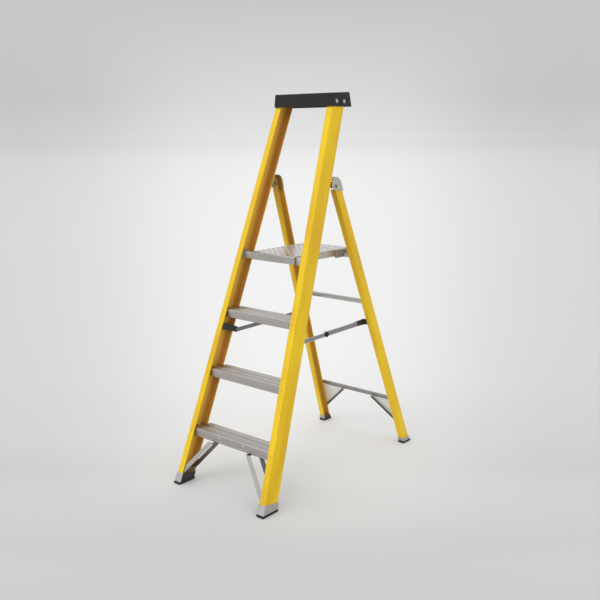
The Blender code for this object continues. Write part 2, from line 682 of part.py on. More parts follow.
# side skirts are a little shallower than the front lip and stop ahead of the support bar
side_cut = [(DECK_FRONT_Y + 0.0200, DECK_TOP_Z - DECK_LIP_H - 0.01),
            (DECK_FRONT_Y + 0.0240, DECK_TOP_Z - DECK_SKIRT_H),
            (0.1600, DECK_TOP_Z - DECK_SKIRT_H), (0.1690, DECK_TOP_Z - 0.0170),
            (DECK_REAR_Y + 0.02, DECK_TOP_Z - 0.0170),
            (DECK_REAR_Y + 0.02, DECK_TOP_Z - DECK_LIP_H - 0.01)]
cut(deck, slab("cut_deck_side", side_cut, -0.2, 0.2, ALU))
for label, s in SIDES:
    hole(deck, "cut_deck_" + label, PLATFORM_PIVOT, 0.0054, s * 0.10, s * 0.15)

# hat-section stiffener under the middle of the deck
hat = [(-0.0420, 0.0), (-0.0420, -0.0020), (-0.0240, -0.0020), (-0.0170, -0.0180),
       (0.0170, -0.0180), (0.0240, -0.0020), (0.0420, -0.0020), (0.0420, 0.0),
       (0.0228, 0.0), (0.0158, -0.0160), (-0.0158, -0.0160), (-0.0228, 0.0)]
under = DECK_TOP_Z - DECK_WALL - GAP
loft("platform_stiffener", [[(x, y, under + h) for x, h in hat]
                            for y in (DECK_FRONT_Y + 0.0040, DECK_REAR_Y - 0.0040)], ALU)

bar_mid = BAR_SUPPORT[0]
bar_top = bar_mid + BAR_SUPPORT[1] / 2
bar_bottom = bar_mid - BAR_SUPPORT[1] / 2
bar_front_y = rear_y(bar_top) + REAR_DEPTH + 0.0006
bar_rear_y = rear_y(bar_bottom) + REAR_DEPTH + 0.0006 + BAR_DEPTH
for label, s in SIDES:
    # hook that rests on the support bar and hangs down behind it
    seat = bar_top + GAP
    outline = [(0.0960, DECK_TOP_Z - 0.0060), (0.0960, DECK_TOP_Z - 0.0340),
               (0.1000, DECK_TOP_Z - 0.0380), (0.1590, DECK_TOP_Z - 0.0380),
               (0.1630, DECK_TOP_Z - 0.0340), (0.1650, seat), (bar_rear_y + 0.0020, seat),
               (bar_rear_y + 0.0020, bar_bottom - 0.0010),
               (bar_rear_y + 0.0100, bar_bottom - 0.0010), (bar_rear_y + 0.0130, bar_bottom + 0.0040),
               (bar_rear_y + 0.0130, DECK_TOP_Z - 0.0060)]
    slab("platform_hook_" + label, outline, s * (DECK_HALF_W + GAP),
         s * (DECK_HALF_W + 0.0040), BLACK)

    # black block in the front channel, with the grey hanger that carries the deck
    rings = []
    z0, z1 = 0.9550, 0.9850
    for z in (z0, z1):
        y0 = front_y(z) + 0.0042 + 0.0008
        y1 = y0 + 0.0400
        x_in, x_out = half_width(z1) - FRONT_FLANGE + 0.0010, half_width(z) - STILE_WALL - 0.0006
        rings.append([(s * x_in, y0, z), (s * x_out, y0, z), (s * x_out, y1, z), (s * x_in, y1, z)])
    loft("platform_mount_" + label, rings, ALU)
    py, pz = PLATFORM_PIVOT
    body = fillet([(py - 0.0190, z0 - 0.0060), (py + 0.0170, z0 - 0.0060), (py + 0.0170, z1 - 0.0040),
                   (py - 0.0190, z1 - 0.0040)], 0.0040, 3)
    hanger = slab("platform_hanger_" + label, body, s * 0.1272,
                  s * (half_width(z1) - FRONT_FLANGE + 0.0010 - GAP), ALU)
    hole(hanger, "cut_hanger_" + label, PLATFORM_PIVOT, 0.0054, s * 0.12, s * 0.1530)
    turned("platform_pin_" + label, PLATFORM_PIVOT,
           [(s * 0.1175, 0.0060), (s * 0.1183, 0.0082), (s * 0.1214, 0.0082),
            (s * 0.1214, 0.0050), (s * 0.1520, 0.0050)], STEEL)


# ----------------------------------------------------------------- moving groups
def group(name, point, members):
    """Empty on a joint's axis that carries the pieces which move with it."""
    empty = bpy.data.objects.new(name, None)
    empty.empty_display_size = 0.03
    empty.location = (0.0, point[0], point[1])
    bpy.context.scene.collection.objects.link(empty)
    bpy.context.view_layer.update()
    for member in members:
        obj = bpy.data.objects[member]
        obj.parent = empty
        obj.matrix_parent_inverse = empty.matrix_world.inverted()
    return empty


both = ("left", "right")
group("hinge_rear_frame", MAIN_PIVOT,
      ["rear_crossbar_lower", "rear_crossbar_upper", "platform_support_bar"] +
      [base + side for base in ("rear_stile_", "rear_shoe_", "rear_sole_", "rear_gusset_",
                                "pivot_bracket_", "pivot_bolt_", "stay_bracket_rear_",
                                "stay_pin_rear_") for side in both])
group("hinge_platform", PLATFORM_PIVOT,
      ["platform_deck", "platform_stiffener"] + ["platform_hook_" + side for side in both])
for side in both:
    group("hinge_stay_front_" + side, STAY_FRONT_PIVOT,
          ["stay_front_arm_" + side, "knuckle_head_" + side])
    group("hinge_stay_rear_" + side, STAY_REAR_PIVOT,
          ["stay_rear_arm_" + side, "knuckle_tail_" + side])
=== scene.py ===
"""Looks of the platform step ladder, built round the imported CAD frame.

Metres, row frame: +X right of someone facing the treads, +Y from the treads to the rear
frame, +Z up, origin on the floor in the middle of the footprint.
"""
import json
import math
import random

import bmesh
import bpy
from mathutils import Matrix, Vector

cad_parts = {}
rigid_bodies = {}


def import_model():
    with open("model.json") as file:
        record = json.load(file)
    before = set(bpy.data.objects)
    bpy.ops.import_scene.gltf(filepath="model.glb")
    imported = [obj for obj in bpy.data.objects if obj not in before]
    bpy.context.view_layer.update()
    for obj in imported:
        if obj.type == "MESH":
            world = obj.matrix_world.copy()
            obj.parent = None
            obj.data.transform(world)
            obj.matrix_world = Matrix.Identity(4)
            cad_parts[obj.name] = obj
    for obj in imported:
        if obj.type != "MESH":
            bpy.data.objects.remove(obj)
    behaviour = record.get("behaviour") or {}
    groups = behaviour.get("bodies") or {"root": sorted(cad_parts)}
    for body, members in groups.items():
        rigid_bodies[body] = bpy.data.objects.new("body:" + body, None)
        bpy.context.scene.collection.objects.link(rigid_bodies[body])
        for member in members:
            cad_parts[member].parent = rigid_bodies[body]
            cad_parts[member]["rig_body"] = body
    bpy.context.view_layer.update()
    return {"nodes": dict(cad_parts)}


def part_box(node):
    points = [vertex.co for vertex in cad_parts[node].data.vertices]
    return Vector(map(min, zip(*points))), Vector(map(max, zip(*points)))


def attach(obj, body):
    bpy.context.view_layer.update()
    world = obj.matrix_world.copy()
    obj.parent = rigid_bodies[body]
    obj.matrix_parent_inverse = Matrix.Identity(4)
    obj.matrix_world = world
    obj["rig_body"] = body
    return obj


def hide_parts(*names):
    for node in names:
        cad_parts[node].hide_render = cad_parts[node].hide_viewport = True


for old in list(bpy.data.objects):
    bpy.data.objects.remove(old, do_unlink=True)

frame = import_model()
nodes = frame["nodes"]
rng = random.Random(20)

# ------------------------------------------------------------------ dimensions of the CAD
HALF_WIDTH_FLOOR, TAPER = 0.2600, 0.0648
FRONT_FACE_Y, FRONT_LEAN, FRONT_DEPTH, FRONT_FLANGE = -0.5313, 0.3560, 0.0807, 0.0300
REAR_FACE_Y, REAR_LEAN, REAR_DEPTH, REAR_FLANGE = 0.4833, -0.3635, 0.0480, 0.0270
STILE_WALL = 0.0040
TREAD_RISE, TREAD_1_TOP, TREAD_SETBACK, TREAD_DEPTH = 0.2500, 0.2365, 0.0060, 0.0880
TREAD_FRONT_H, TREAD_REAR_H, TREAD_WALL, TREAD_RIBS = 0.0350, 0.0240, 0.0026, 11
MAIN_PIVOT = (0.0327, 1.2640)
STAY_FRONT_PIVOT = (-0.2063, 0.6350)
STAY_KNUCKLE = (-0.0315, 0.6366)
STAY_REAR_PIVOT = (0.1837, 0.6385)
PLATFORM_PIVOT = (-0.1463, 0.9660)
DECK_HALF_W, DECK_FRONT_Y, DECK_REAR_Y, DECK_TOP_Z = 0.1250, -0.1743, 0.2037, 0.9840
GUSSET_X, GUSSET_LOW_Z = 0.0830, 0.0820
BAR_LOWER, BAR_UPPER, BAR_SUPPORT = (0.2225, 0.0210), (0.7270, 0.0230), (0.9490, 0.0220)
SIDES = (("left", -1), ("right", 1))


def half_width(z):
    return HALF_WIDTH_FLOOR - TAPER * z


def front_y(z):
    return FRONT_FACE_Y + FRONT_LEAN * z


def rear_y(z):
    return REAR_FACE_Y + REAR_LEAN * z


# ------------------------------------------------------------------ node helpers
def srgb(r, g, b):
    """8-bit display values to linear."""
    def one(v):
        v /= 255.0
        return v / 12.92 if v <= 0.04045 else ((v + 0.055) / 1.055) ** 2.4
    return (one(r), one(g), one(b), 1.0)


class Tree:
    """Thin wrapper that keeps node graphs short."""

    def __init__(self, name):
        self.mat = bpy.data.materials.new(name)
        self.mat.use_nodes = True
        self.t = self.mat.node_tree
        self.bsdf = self.t.nodes["Principled BSDF"]
        self.coord = self.t.nodes.new("ShaderNodeTexCoord").outputs["Object"]

    def link(self, a, b):
        self.t.links.new(a, b)

    def put(self, socket, value):
        if isinstance(value, bpy.types.NodeSocket):
            self.link(value, socket)
        elif value is not None:
            socket.default_value = value

    def math(self, op, a, b=None, c=None, clamp=False):
        n = self.t.nodes.new("ShaderNodeMath")
        n.operation = op
        n.use_clamp = clamp
        for s, v in zip(n.inputs, (a, b, c)):
            self.put(s, v)
        return n.outputs[0]

    def vmath(self, op, a, b=None):
        n = self.t.nodes.new("ShaderNodeVectorMath")
        n.operation = op
        self.put(n.inputs[0], a)
        self.put(n.inputs[1], b)
        return n.outputs["Value"] if op in ("DOT_PRODUCT", "LENGTH") else n.outputs[0]

    def combine(self, x, y, z):
        n = self.t.nodes.new("ShaderNodeCombineXYZ")
        for s, v in zip(n.inputs, (x, y, z)):
            self.put(s, v)
        return n.outputs[0]

    def separate(self, v):
        n = self.t.nodes.new("ShaderNodeSeparateXYZ")
        self.put(n.inputs[0], v)
        return n.outputs

    def along(self, direction, sx, sy, sz):
        """Object coordinates turned so that z runs along direction, then scaled."""
        w = Vector(direction).normalized()
        u = Vector((1, 0, 0)) - w * w.x
        if u.length < 0.3:
            u = Vector((0, 1, 0)) - w * w.y
        u.normalize()
        v = w.cross(u)
        parts = []
        for axis, scale in ((u, sx), (v, sy), (w, sz)):
            parts.append(self.vmath("DOT_PRODUCT", self.coord, tuple(axis * scale)))
        return self.combine(*parts)

    def noise(self, vector, scale=1.0, detail=3.0, rough=0.55, distort=0.0):
        n = self.t.nodes.new("ShaderNodeTexNoise")
        self.put(n.inputs["Vector"], vector)
        n.inputs["Scale"].default_value = scale
        n.inputs["Detail"].default_value = detail
        n.inputs["Roughness"].default_value = rough
        n.inputs["Distortion"].default_value = distort
        return n.outputs["Fac"]

    def voronoi(self, vector, scale, feature="F1"):
        n = self.t.nodes.new("ShaderNodeTexVoronoi")
        n.feature = feature
        self.put(n.inputs["Vector"], vector)
        n.inputs["Scale"].default_value = scale
        return n.outputs["Distance"]

    def ramp(self, fac, *stops):
        n = self.t.nodes.new("ShaderNodeValToRGB")
        els = n.color_ramp.elements
        while len(els) < len(stops):
            els.new(0.5)
        for e, (pos, col) in zip(els, stops):
            e.position = pos
            e.color = col if isinstance(col, tuple) else (col, col, col, 1.0)
        self.put(n.inputs[0], fac)
        return n.outputs["Color"]

    def range(self, v, a, b, c, d):
        n = self.t.nodes.new("ShaderNodeMapRange")
        self.put(n.inputs["Value"], v)
        for key, val in (("From Min", a), ("From Max", b), ("To Min", c), ("To Max", d)):
            n.inputs[key].default_value = val
        return n.outputs["Result"]

    def mix(self, fac, a, b, blend="MIX"):
        n = self.t.nodes.new("ShaderNodeMix")
        n.data_type = "RGBA"
        n.blend_type = blend
        self.put(n.inputs["Factor"], fac)
        self.put(n.inputs["A"] if False else n.inputs[6], a)
        self.put(n.inputs[7], b)
        return n.outputs[2]

    def bump(self, height, strength, distance, normal=None):
        n = self.t.nodes.new("ShaderNodeBump")
        n.inputs["Strength"].default_value = strength
        n.inputs["Distance"].default_value = distance
        self.put(n.inputs["Height"], height)
        if normal is not None:
            self.put(n.inputs["Normal"], normal)
        return n.outputs["Normal"]

    def set(self, **values):
        for key, v in values.items():
            self.put(self.bsdf.inputs[key.replace("_", " ")], v)
        return self.mat


# ------------------------------------------------------------------ materials
def grp(name, direction, inner=False):
    """Pultruded glass-fibre channel: longitudinal rovings under a gloss resin skin."""
    m = Tree(name)
    fibre = m.noise(m.along(direction, 1400, 1400, 9), 1.0, 2.5, 0.6)
    strand = m.noise(m.along(direction, 260, 260, 2.2), 1.0, 3.0, 0.55)
    cloud = m.noise(m.along(direction, 14, 14, 3.5), 1.0, 3.0, 0.5)
    if inner:
        # the inside of the channel is painted browner than the outside, as painted shade
        light, deep = srgb(226, 168, 70), srgb(192, 138, 60)
    else:
        light, deep = srgb(238, 202, 14), srgb(222, 176, 8)
    base = m.mix(m.range(cloud, 0.35, 0.68, 0.0, 1.0), light, deep)
    base = m.mix(m.math("MULTIPLY", m.range(strand, 0.45, 0.75, 0.0, 1.0), 0.35), base, deep)
    base = m.mix(m.math("MULTIPLY", m.range(fibre, 0.5, 0.8, 0.0, 1.0), 0.22), base,
                 srgb(246, 222, 70) if not inner else srgb(224, 176, 80))
    if inner:
        # painted light and shade: paler by the front flange, where light reaches into the channel, browner
        # towards the rear one, which lies in shade
        _, y, height = m.separate(m.coord)
        front_piece = direction[1] > 0
        face, lean = (FRONT_FACE_Y, FRONT_LEAN) if front_piece else (REAR_FACE_Y, REAR_LEAN)
        deepness = m.math("SUBTRACT", m.math("SUBTRACT", y, face), m.math("MULTIPLY", height, lean))
        a, b = (0.030, 0.062) if front_piece else (0.012, 0.036)
        if not front_piece:
            base = m.mix(0.50, base, srgb(226, 190, 72))
        base = m.mix(m.range(deepness, a, b, 0.75, 0.0), base, srgb(250, 202, 56))
        base = m.mix(m.range(deepness, b - 0.006, b + 0.016, 0.0, 0.55), base, srgb(166, 112, 58))
        if not front_piece:
            # painted shade at the top of the rear stiles' insides, by the pivot brackets
            painted_shade_top = m.math("MULTIPLY", m.range(height, 1.222, 1.234, 0.0, 0.50),
                             m.range(deepness, 0.026, 0.040, 0.35, 1.0))
            base = m.mix(painted_shade_top, base, srgb(84, 72, 48))
    elif direction[1] < 0:
        # painted shade: the front face of the rear stiles is browner towards the pivots, where the front
        # stiles shade it
        _, y, height = m.separate(m.coord)
        deepness = m.math("SUBTRACT", m.math("SUBTRACT", y, REAR_FACE_Y),
                          m.math("MULTIPLY", height, REAR_LEAN))
        painted_shade_front = m.math("MULTIPLY", m.range(height, 0.92, 1.16, 0.0, 0.42),
                         m.range(deepness, 0.0008, 0.0030, 1.0, 0.0))
        base = m.mix(painted_shade_front, base, srgb(120, 74, 14))
    # scuffs: short dull marks, denser towards the floor
    z = m.separate(m.coord)[2]
    low = m.range(z, 0.02, 0.60, 1.0, 0.25)
    scuff = m.noise(m.along(direction, 120, 120, 26), 1.0, 5.0, 0.65, 0.6)
    scuff = m.math("MULTIPLY", m.range(scuff, 0.66, 0.74, 0.0, 1.0), low)
    base = m.mix(m.math("MULTIPLY", scuff, 0.30), base, srgb(172, 132, 30))
    rough = m.math("ADD", m.range(strand, 0.3, 0.7, 0.30, 0.42), m.math("MULTIPLY", scuff, 0.25))
    n1 = m.bump(fibre, 0.10, 0.0004)
    n2 = m.bump(strand, 0.10, 0.0010, n1)
    n3 = m.bump(scuff, -0.15, 0.0004, n2)
    m.set(Base_Color=base, Roughness=rough, Normal=n3, Coat_Weight=0.08 if not inner else 0.04,
          Coat_Roughness=0.12, Specular_IOR_Level=0.28)
    return m.mat


def cut_end(name):
    """Sawn end of the glass-fibre section: paler, with the fibre ends showing."""
    m = Tree(name)
    dots = m.voronoi(m.coord, 1600)
    base = m.mix(m.range(dots, 0.1, 0.6, 0.0, 1.0), srgb(226, 190, 96), srgb(176, 128, 40))
    m.set(Base_Color=base, Roughness=0.8, Normal=m.bump(dots, 0.3, 0.0004))
    return m.mat


def aluminium(name, direction, tone=(0.80, 0.79, 0.77), rough=(0.30, 0.42), streak=1.0,
              brush=1700.0, bands=(190.0, 0.35), tread_y=None):
    """Mill-finish extrusion: die lines along direction, handling marks, dull patches."""
    m = Tree(name)
    lines = m.noise(m.along(direction, brush, brush, 5), 1.0, 2.0, 0.5)
    broad = m.noise(m.along(direction, bands[0], bands[0], 1.5), 1.0, 3.0, 0.5)
    patch = m.noise(m.coord, 26.0, 4.0, 0.55, 0.4)
    dark = tuple(c * 0.78 for c in tone) + (1.0,)
    base = m.mix(m.math("MULTIPLY", m.range(lines, 0.35, 0.70, 0.0, 1.0), 0.45 * streak),
                 tone + (1.0,), dark)
    base = m.mix(m.math("MULTIPLY", m.range(broad, 0.45, 0.75, 0.0, 1.0), bands[1]), base, dark)
    if tread_y is not None:
        # the nose and alternate pairs of ribs are brighter than the bands between
        tone_variation = m.ramp(m.range(m.separate(m.coord)[1], tread_y - 0.0040, tread_y + 0.0880, 0.0, 1.0),
                      (0.0, 0.90), (0.045, 0.90), (0.055, 1.0), (0.14, 1.0), (0.20, 0.78),
                      (0.30, 0.80), (0.36, 1.0), (0.50, 0.98), (0.56, 0.74), (0.68, 0.76),
                      (0.74, 1.0), (0.88, 0.98), (0.94, 0.70), (1.0, 0.80))
        base = m.mix(1.0, base, tone_variation, "MULTIPLY")
    stain = m.range(patch, 0.58, 0.74, 0.0, 0.35)
    base = m.mix(stain, base, (tone[0] * 0.62, tone[1] * 0.60, tone[2] * 0.58, 1.0))
    scratch = m.noise(m.along((direction[0] + 0.35, direction[1] + 0.2, direction[2] + 0.1),
                              900, 900, 14), 1.0, 2.0, 0.4)
    scratch = m.range(scratch, 0.70, 0.76, 0.0, 1.0)
    r = m.range(patch, 0.30, 0.72, rough[0], rough[1])
    r = m.math("ADD", r, m.math("MULTIPLY", scratch, 0.12))
    n1 = m.bump(lines, 0.12 * streak, 0.0003)
    n2 = m.bump(scratch, -0.12, 0.0003, n1)
    m.set(Base_Color=base, Metallic=1.0, Roughness=r, Normal=n2)
    return m.mat


def moulded(name, colour, tone_variation, rough, grain=1500.0, strength=0.35, gloss=0.45):
    """Moulded black plastic or rubber: fine grain, faint swirl and paler rubbed patches."""
    m = Tree(name)
    g = m.voronoi(m.coord, grain)
    fine = m.noise(m.coord, grain * 1.6, 2.0)
    cloud = m.noise(m.coord, 30.0, 4.0, 0.6, 0.5)
    base = m.mix(m.range(cloud, 0.48, 0.75, 0.0, 0.55), colour, tone_variation)
    base = m.mix(m.math("MULTIPLY", fine, 0.25), base, tone_variation)
    r = m.range(cloud, 0.3, 0.7, rough - 0.05, rough + 0.08)
    n1 = m.bump(g, strength, 0.00025)
    n2 = m.bump(fine, strength * 0.5, 0.0002, n1)
    m.set(Base_Color=base, Roughness=r, Normal=n2, Specular_IOR_Level=gloss)
    return m.mat


def plated(name, tone, rough):
    """Zinc-plated steel: slight iridescent mottling and tool marks."""
    m = Tree(name)
    spangle = m.voronoi(m.coord, 420.0)
    cloud = m.noise(m.coord, 140.0, 3.0)
    base = m.mix(m.range(spangle, 0.0, 0.8, 0.0, 0.5), tone + (1.0,),
                 (tone[0] * 0.84, tone[1] * 0.87, tone[2] * 0.92, 1.0))
    m.set(Base_Color=base, Metallic=1.0, Roughness=m.range(cloud, 0.3, 0.7, rough, rough + 0.14),
          Normal=m.bump(cloud, 0.12, 0.0003))
    return m.mat


def stile_direction(front, s):
    lean = FRONT_LEAN if front else REAR_LEAN
    return Vector((-s * TAPER, lean, 1.0)).normalized()


grp_outer, grp_inner_painted_shade = {}, {}
for front in (True, False):
    for label, s in SIDES:
        d = stile_direction(front, s)
        key = ("front_" if front else "rear_") + label
        grp_outer[key] = grp("grp_" + key, d)
        grp_inner_painted_shade[key] = grp("grp_inside_painted_shade_" + key, d, True)
GRP_END = cut_end("grp_sawn_end")
TREAD_Y = [FRONT_FACE_Y + FRONT_LEAN * (TREAD_1_TOP + k * TREAD_RISE) + TREAD_SETBACK
           for k in range(3)]
ALU_TREAD = [aluminium("aluminium_tread_%d" % (k + 1), (1, 0, 0), (0.56, 0.525, 0.505),
                       (0.34, 0.46), 1.0, 1700.0, (62.0, 0.5), TREAD_Y[k]) for k in range(3)]
ALU_DECK = aluminium("aluminium_deck", (0, 1, 0), (0.47, 0.455, 0.43), (0.24, 0.36), 0.5, 900.0)
ALU_CHEQUER = aluminium("aluminium_chequer", (0, 1, 0), (0.86, 0.85, 0.83), (0.20, 0.30), 0.3, 900.0)
ALU_BAR = aluminium("aluminium_bar", (1, 0, 0), (0.54, 0.53, 0.525), (0.32, 0.44))
ALU_BAR_LOW = aluminium("aluminium_bar_low", (1, 0, 0), (0.34, 0.33, 0.325), (0.34, 0.46))
# lighter, warmer copy of the deck aluminium for its side faces: painted warm reflection
ALU_DECK_SIDE_REFLECTION = aluminium("aluminium_deck_side_painted_reflection", (0, 1, 0), (0.58, 0.55, 0.50), (0.34, 0.46), 0.5, 900.0)
ALU_STAY = aluminium("aluminium_stay", (0, 1, 0), (0.46, 0.465, 0.47), (0.34, 0.46))
# darker copies of the stay aluminium, as painted shade: one for the sunk outer panel, a darker one for the
# faces turned inwards
ALU_STAY_PANEL_SHADE = aluminium("aluminium_stay_panel_painted_shade", (0, 1, 0), (0.32, 0.325, 0.33), (0.36, 0.48))
ALU_STAY_IN_SHADE = aluminium("aluminium_stay_inside_painted_shade", (0, 1, 0), (0.27, 0.265, 0.26), (0.38, 0.52))
ALU_BRACE = aluminium("aluminium_brace", (0.6, 0.1, -0.75), (0.48, 0.48, 0.47), (0.30, 0.42))
# darker copy of the brace aluminium, as painted shade on the brace's rear part and along the gusset folds
ALU_PAINTED_SHADE = aluminium("aluminium_painted_shade", (0.6, 0.1, -0.75), (0.17, 0.175, 0.165), (0.40, 0.55))
ALU_PLATE = aluminium("aluminium_gusset", (0.6, 0.1, -0.75), (0.84, 0.825, 0.81), (0.58, 0.70), 0.6)
ALU_PLATE.node_tree.nodes["Principled BSDF"].inputs["Metallic"].default_value = 0.45
ALU_CAST = aluminium("aluminium_bracket", (0, 0.3, 1), (0.55, 0.53, 0.48), (0.38, 0.52), 0.3, 500.0)
ALU_LUG = aluminium("aluminium_lug", (0, 0.3, 1), (0.34, 0.29, 0.24), (0.40, 0.55), 0.3, 500.0)
ALU_MOUNT = aluminium("aluminium_mount", (0, 0.3, 1), (0.40, 0.40, 0.40), (0.40, 0.55), 0.3, 500.0)
SHOE = aluminium("shoe_alloy", (0, 0.3, 1), (0.52, 0.51, 0.50), (0.38, 0.52), 0.5, 700.0)
CAP = moulded("black_cap", srgb(30, 30, 31), srgb(50, 50, 51), 0.55, 1300.0, 0.25, 0.25)
NYLON = moulded("black_nylon", srgb(34, 34, 35), srgb(62, 61, 60), 0.45, 1700.0, 0.22)
POWDER_GREY = moulded("grey_powder_coat", srgb(134, 129, 119), srgb(156, 151, 141), 0.45, 2200.0, 0.40)
POWDER_DARK = moulded("black_powder_dark", srgb(18, 18, 19), srgb(44, 44, 44), 0.5, 2200.0, 0.3, 0.25)
POWDER = moulded("black_powder_coat", srgb(32, 33, 35), srgb(78, 79, 80), 0.40, 2200.0, 0.40)
RUBBER = moulded("rubber_black", srgb(24, 24, 25), srgb(56, 54, 52), 0.72, 900.0, 0.45)
STEEL = plated("zinc_steel", (0.72, 0.73, 0.75), 0.26)
STEEL_CAP = plated("zinc_steel_cap", (0.50, 0.52, 0.52), 0.42)
STEEL_DULL = plated("zinc_steel_dull", (0.34, 0.33, 0.31), 0.38)
RIVET = plated("rivet_alloy", (0.80, 0.80, 0.80), 0.30)
# pivot bolts coloured dark brown, as painted shade in the pivot brackets
BOLT_PAINTED_SHADE = plated("pivot_bolt_painted_shade", (0.30, 0.22, 0.13), 0.45)
RIVET_BRASS = plated("rivet_passivated", (0.46, 0.36, 0.15), 0.42)
RIVET_DARK = plated("rivet_dark", (0.30, 0.27, 0.20), 0.40)

SLOT_OF = {ALU_PLATE: "aluminium", ALU_CHEQUER: "aluminium", ALU_PAINTED_SHADE: "aluminium", ALU_LUG: "aluminium",
           ALU_MOUNT: "aluminium", POWDER_GREY: "black_steel", POWDER_DARK: "black_steel", ALU_TREAD[0]: "aluminium", ALU_TREAD[1]: "aluminium",
           ALU_TREAD[2]: "aluminium", ALU_DECK: "aluminium", ALU_BAR: "aluminium", ALU_BAR_LOW: "aluminium",
           ALU_DECK_SIDE_REFLECTION: "aluminium", ALU_STAY: "aluminium",
           ALU_BRACE: "aluminium", ALU_CAST: "aluminium", SHOE: "shoe_alloy", CAP: "black_cap",
           NYLON: "black_nylon", POWDER: "black_steel", RUBBER: "rubber_black",
           STEEL_DULL: "zinc_steel", STEEL_CAP: "zinc_steel", STEEL: "zinc_steel", RIVET: "zinc_steel", RIVET_BRASS: "zinc_steel", BOLT_PAINTED_SHADE: "zinc_steel",
           RIVET_DARK: "zinc_steel"}


# ------------------------------------------------------------------ mesh helpers
def new_object(name, bm, mats, sharp=38.0, recalc=True):
    if recalc:
        bmesh.ops.recalc_face_normals(bm, faces=bm.faces)
    mesh = bpy.data.meshes.new(name)
    bm.to_mesh(mesh)
    bm.free()
    for mat in (mats if isinstance(mats, (list, tuple)) else [mats]):
        mesh.materials.append(mat)
    mesh.shade_smooth()
    mesh.set_sharp_from_angle(angle=math.radians(sharp))
    obj = bpy.data.objects.new(name, mesh)
    bpy.context.scene.collection.objects.link(obj)
    return obj


def bevelled(obj, width, segments=2, angle=34.0):
    mod = obj.modifiers.new("edge", "BEVEL")
    mod.width = width
    mod.segments = segments
    mod.limit_method = "ANGLE"
    mod.angle_limit = math.radians(angle)
    mod.use_clamp_overlap = True
    mod.miter_outer = "MITER_ARC"
    mod.harden_normals = True
    return obj


def place(obj, body, replaces=(), slot=None):
    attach(obj, body)
    if replaces:
        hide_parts(*replaces)
    if slot is None:
        slot = SLOT_OF.get(obj.data.materials[0])
    return obj


def body_of(node):
    return nodes[node]["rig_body"]


def cad_copy(node):
    """The node's shape with its coplanar triangles joined, ready to be bevelled."""
    bm = bmesh.new()
    bm.from_mesh(nodes[node].data)
    bmesh.ops.remove_doubles(bm, verts=bm.verts, dist=2e-6)
    bmesh.ops.dissolve_limit(bm, angle_limit=math.radians(0.6), verts=bm.verts, edges=bm.edges)
    return bm


def refined(node, mat, width=0.0006, segments=2, angle=34.0, sharp=38.0):
    obj = new_object(node + "_form", cad_copy(node), mat, sharp)
    bevelled(obj, width, segments, angle)
    return place(obj, body_of(node), [node])


def loft_into(bm, rings, close=True, mat=0):
    loops = [[bm.verts.new(p) for p in ring] for ring in rings]
    n = len(loops[0])
    faces = []
    for a, b in zip(loops, loops[1:]):
        for i in range(n):
            j = (i + 1) % n
            faces.append(bm.faces.new((a[i], a[j], b[j], b[i])))
    if close:
        faces.append(bm.faces.new(list(reversed(loops[0]))))
        faces.append(bm.faces.new(loops[-1]))
    for f in faces:
        f.material_index = mat
    return loops


def fillet(points, radius, steps=4):
    """Round the corners of a closed 2-D outline."""
    radii = radius if isinstance(radius, (list, tuple)) else [radius] * len(points)
    out = []
    for i, p in enumerate(points):
        here = Vector(p)
        r = radii[i]
        if r <= 0:
            out.append(tuple(here))
            continue
        before = (Vector(points[i - 1]) - here).normalized()
        after = (Vector(points[(i + 1) % len(points)]) - here).normalized()
        ang = before.angle(after)
        back = r / math.tan(ang / 2)
        a, b = here + before * back, here + after * back
        c = here + (before + after).normalized() * (r / math.sin(ang / 2))
        a0 = math.atan2(a.y - c.y, a.x - c.x)
        sweep = (math.atan2(b.y - c.y, b.x - c.x) - a0 + math.pi) % (2 * math.pi) - math.pi
        for k in range(steps + 1):
            t = a0 + sweep * k / steps
            out.append((c.x + r * math.cos(t), c.y + r * math.sin(t)))
    return out


def revolve_into(bm, centre, normal, profile, facets=18, mat=0):
    """profile is [(distance along normal, radius)...], the last one closing on the axis."""
    n = Vector(normal).normalized()
    u = n.orthogonal().normalized()
    v = n.cross(u)
    c = Vector(centre)
    rings = []
    for h, r in profile:
        if r <= 0:
            rings.append([bm.verts.new(c + n * h)])
        else:
            rings.append([bm.verts.new(c + n * h + (u * math.cos(2 * math.pi * i / facets)
                                                    + v * math.sin(2 * math.pi * i / facets)) * r)
                          for i in range(facets)])
    for a, b in zip(rings, rings[1:]):
        for i in range(facets):
            j = (i + 1) % facets
            if len(b) == 1:
                f = bm.faces.new((a[i], a[j], b[0]))
            else:
                f = bm.faces.new((a[i], a[j], b[j], b[i]))
            f.material_index = mat
    f = bm.faces.new(list(reversed(rings[0])))
    f.material_index = mat


def rivets(name, spots, radius, height, body, mat=None, washer=False):
    """Dome-headed rivets as one piece; spots are (centre on the surface, normal)."""
    bm = bmesh.new()
    for centre, normal in spots:
        prof = [(-0.0004, radius * 0.96)]
        if washer:
            prof += [(0.0, radius * 1.35), (0.0006, radius * 1.30), (0.0007, radius)]
            base = 0.0007
        else:
            prof += [(0.0, radius), (0.0002, radius)]
            base = 0.0002
        for k in range(1, 6):
            t = math.pi / 2 * k / 5.0
            prof.append((base + height * math.sin(t) * 0.98, radius * math.cos(t)))
        prof[-1] = (base + height, 0.0)
        revolve_into(bm, centre, normal, prof, 16)
    return place(new_object(name, bm, mat or RIVET, 50.0), body)


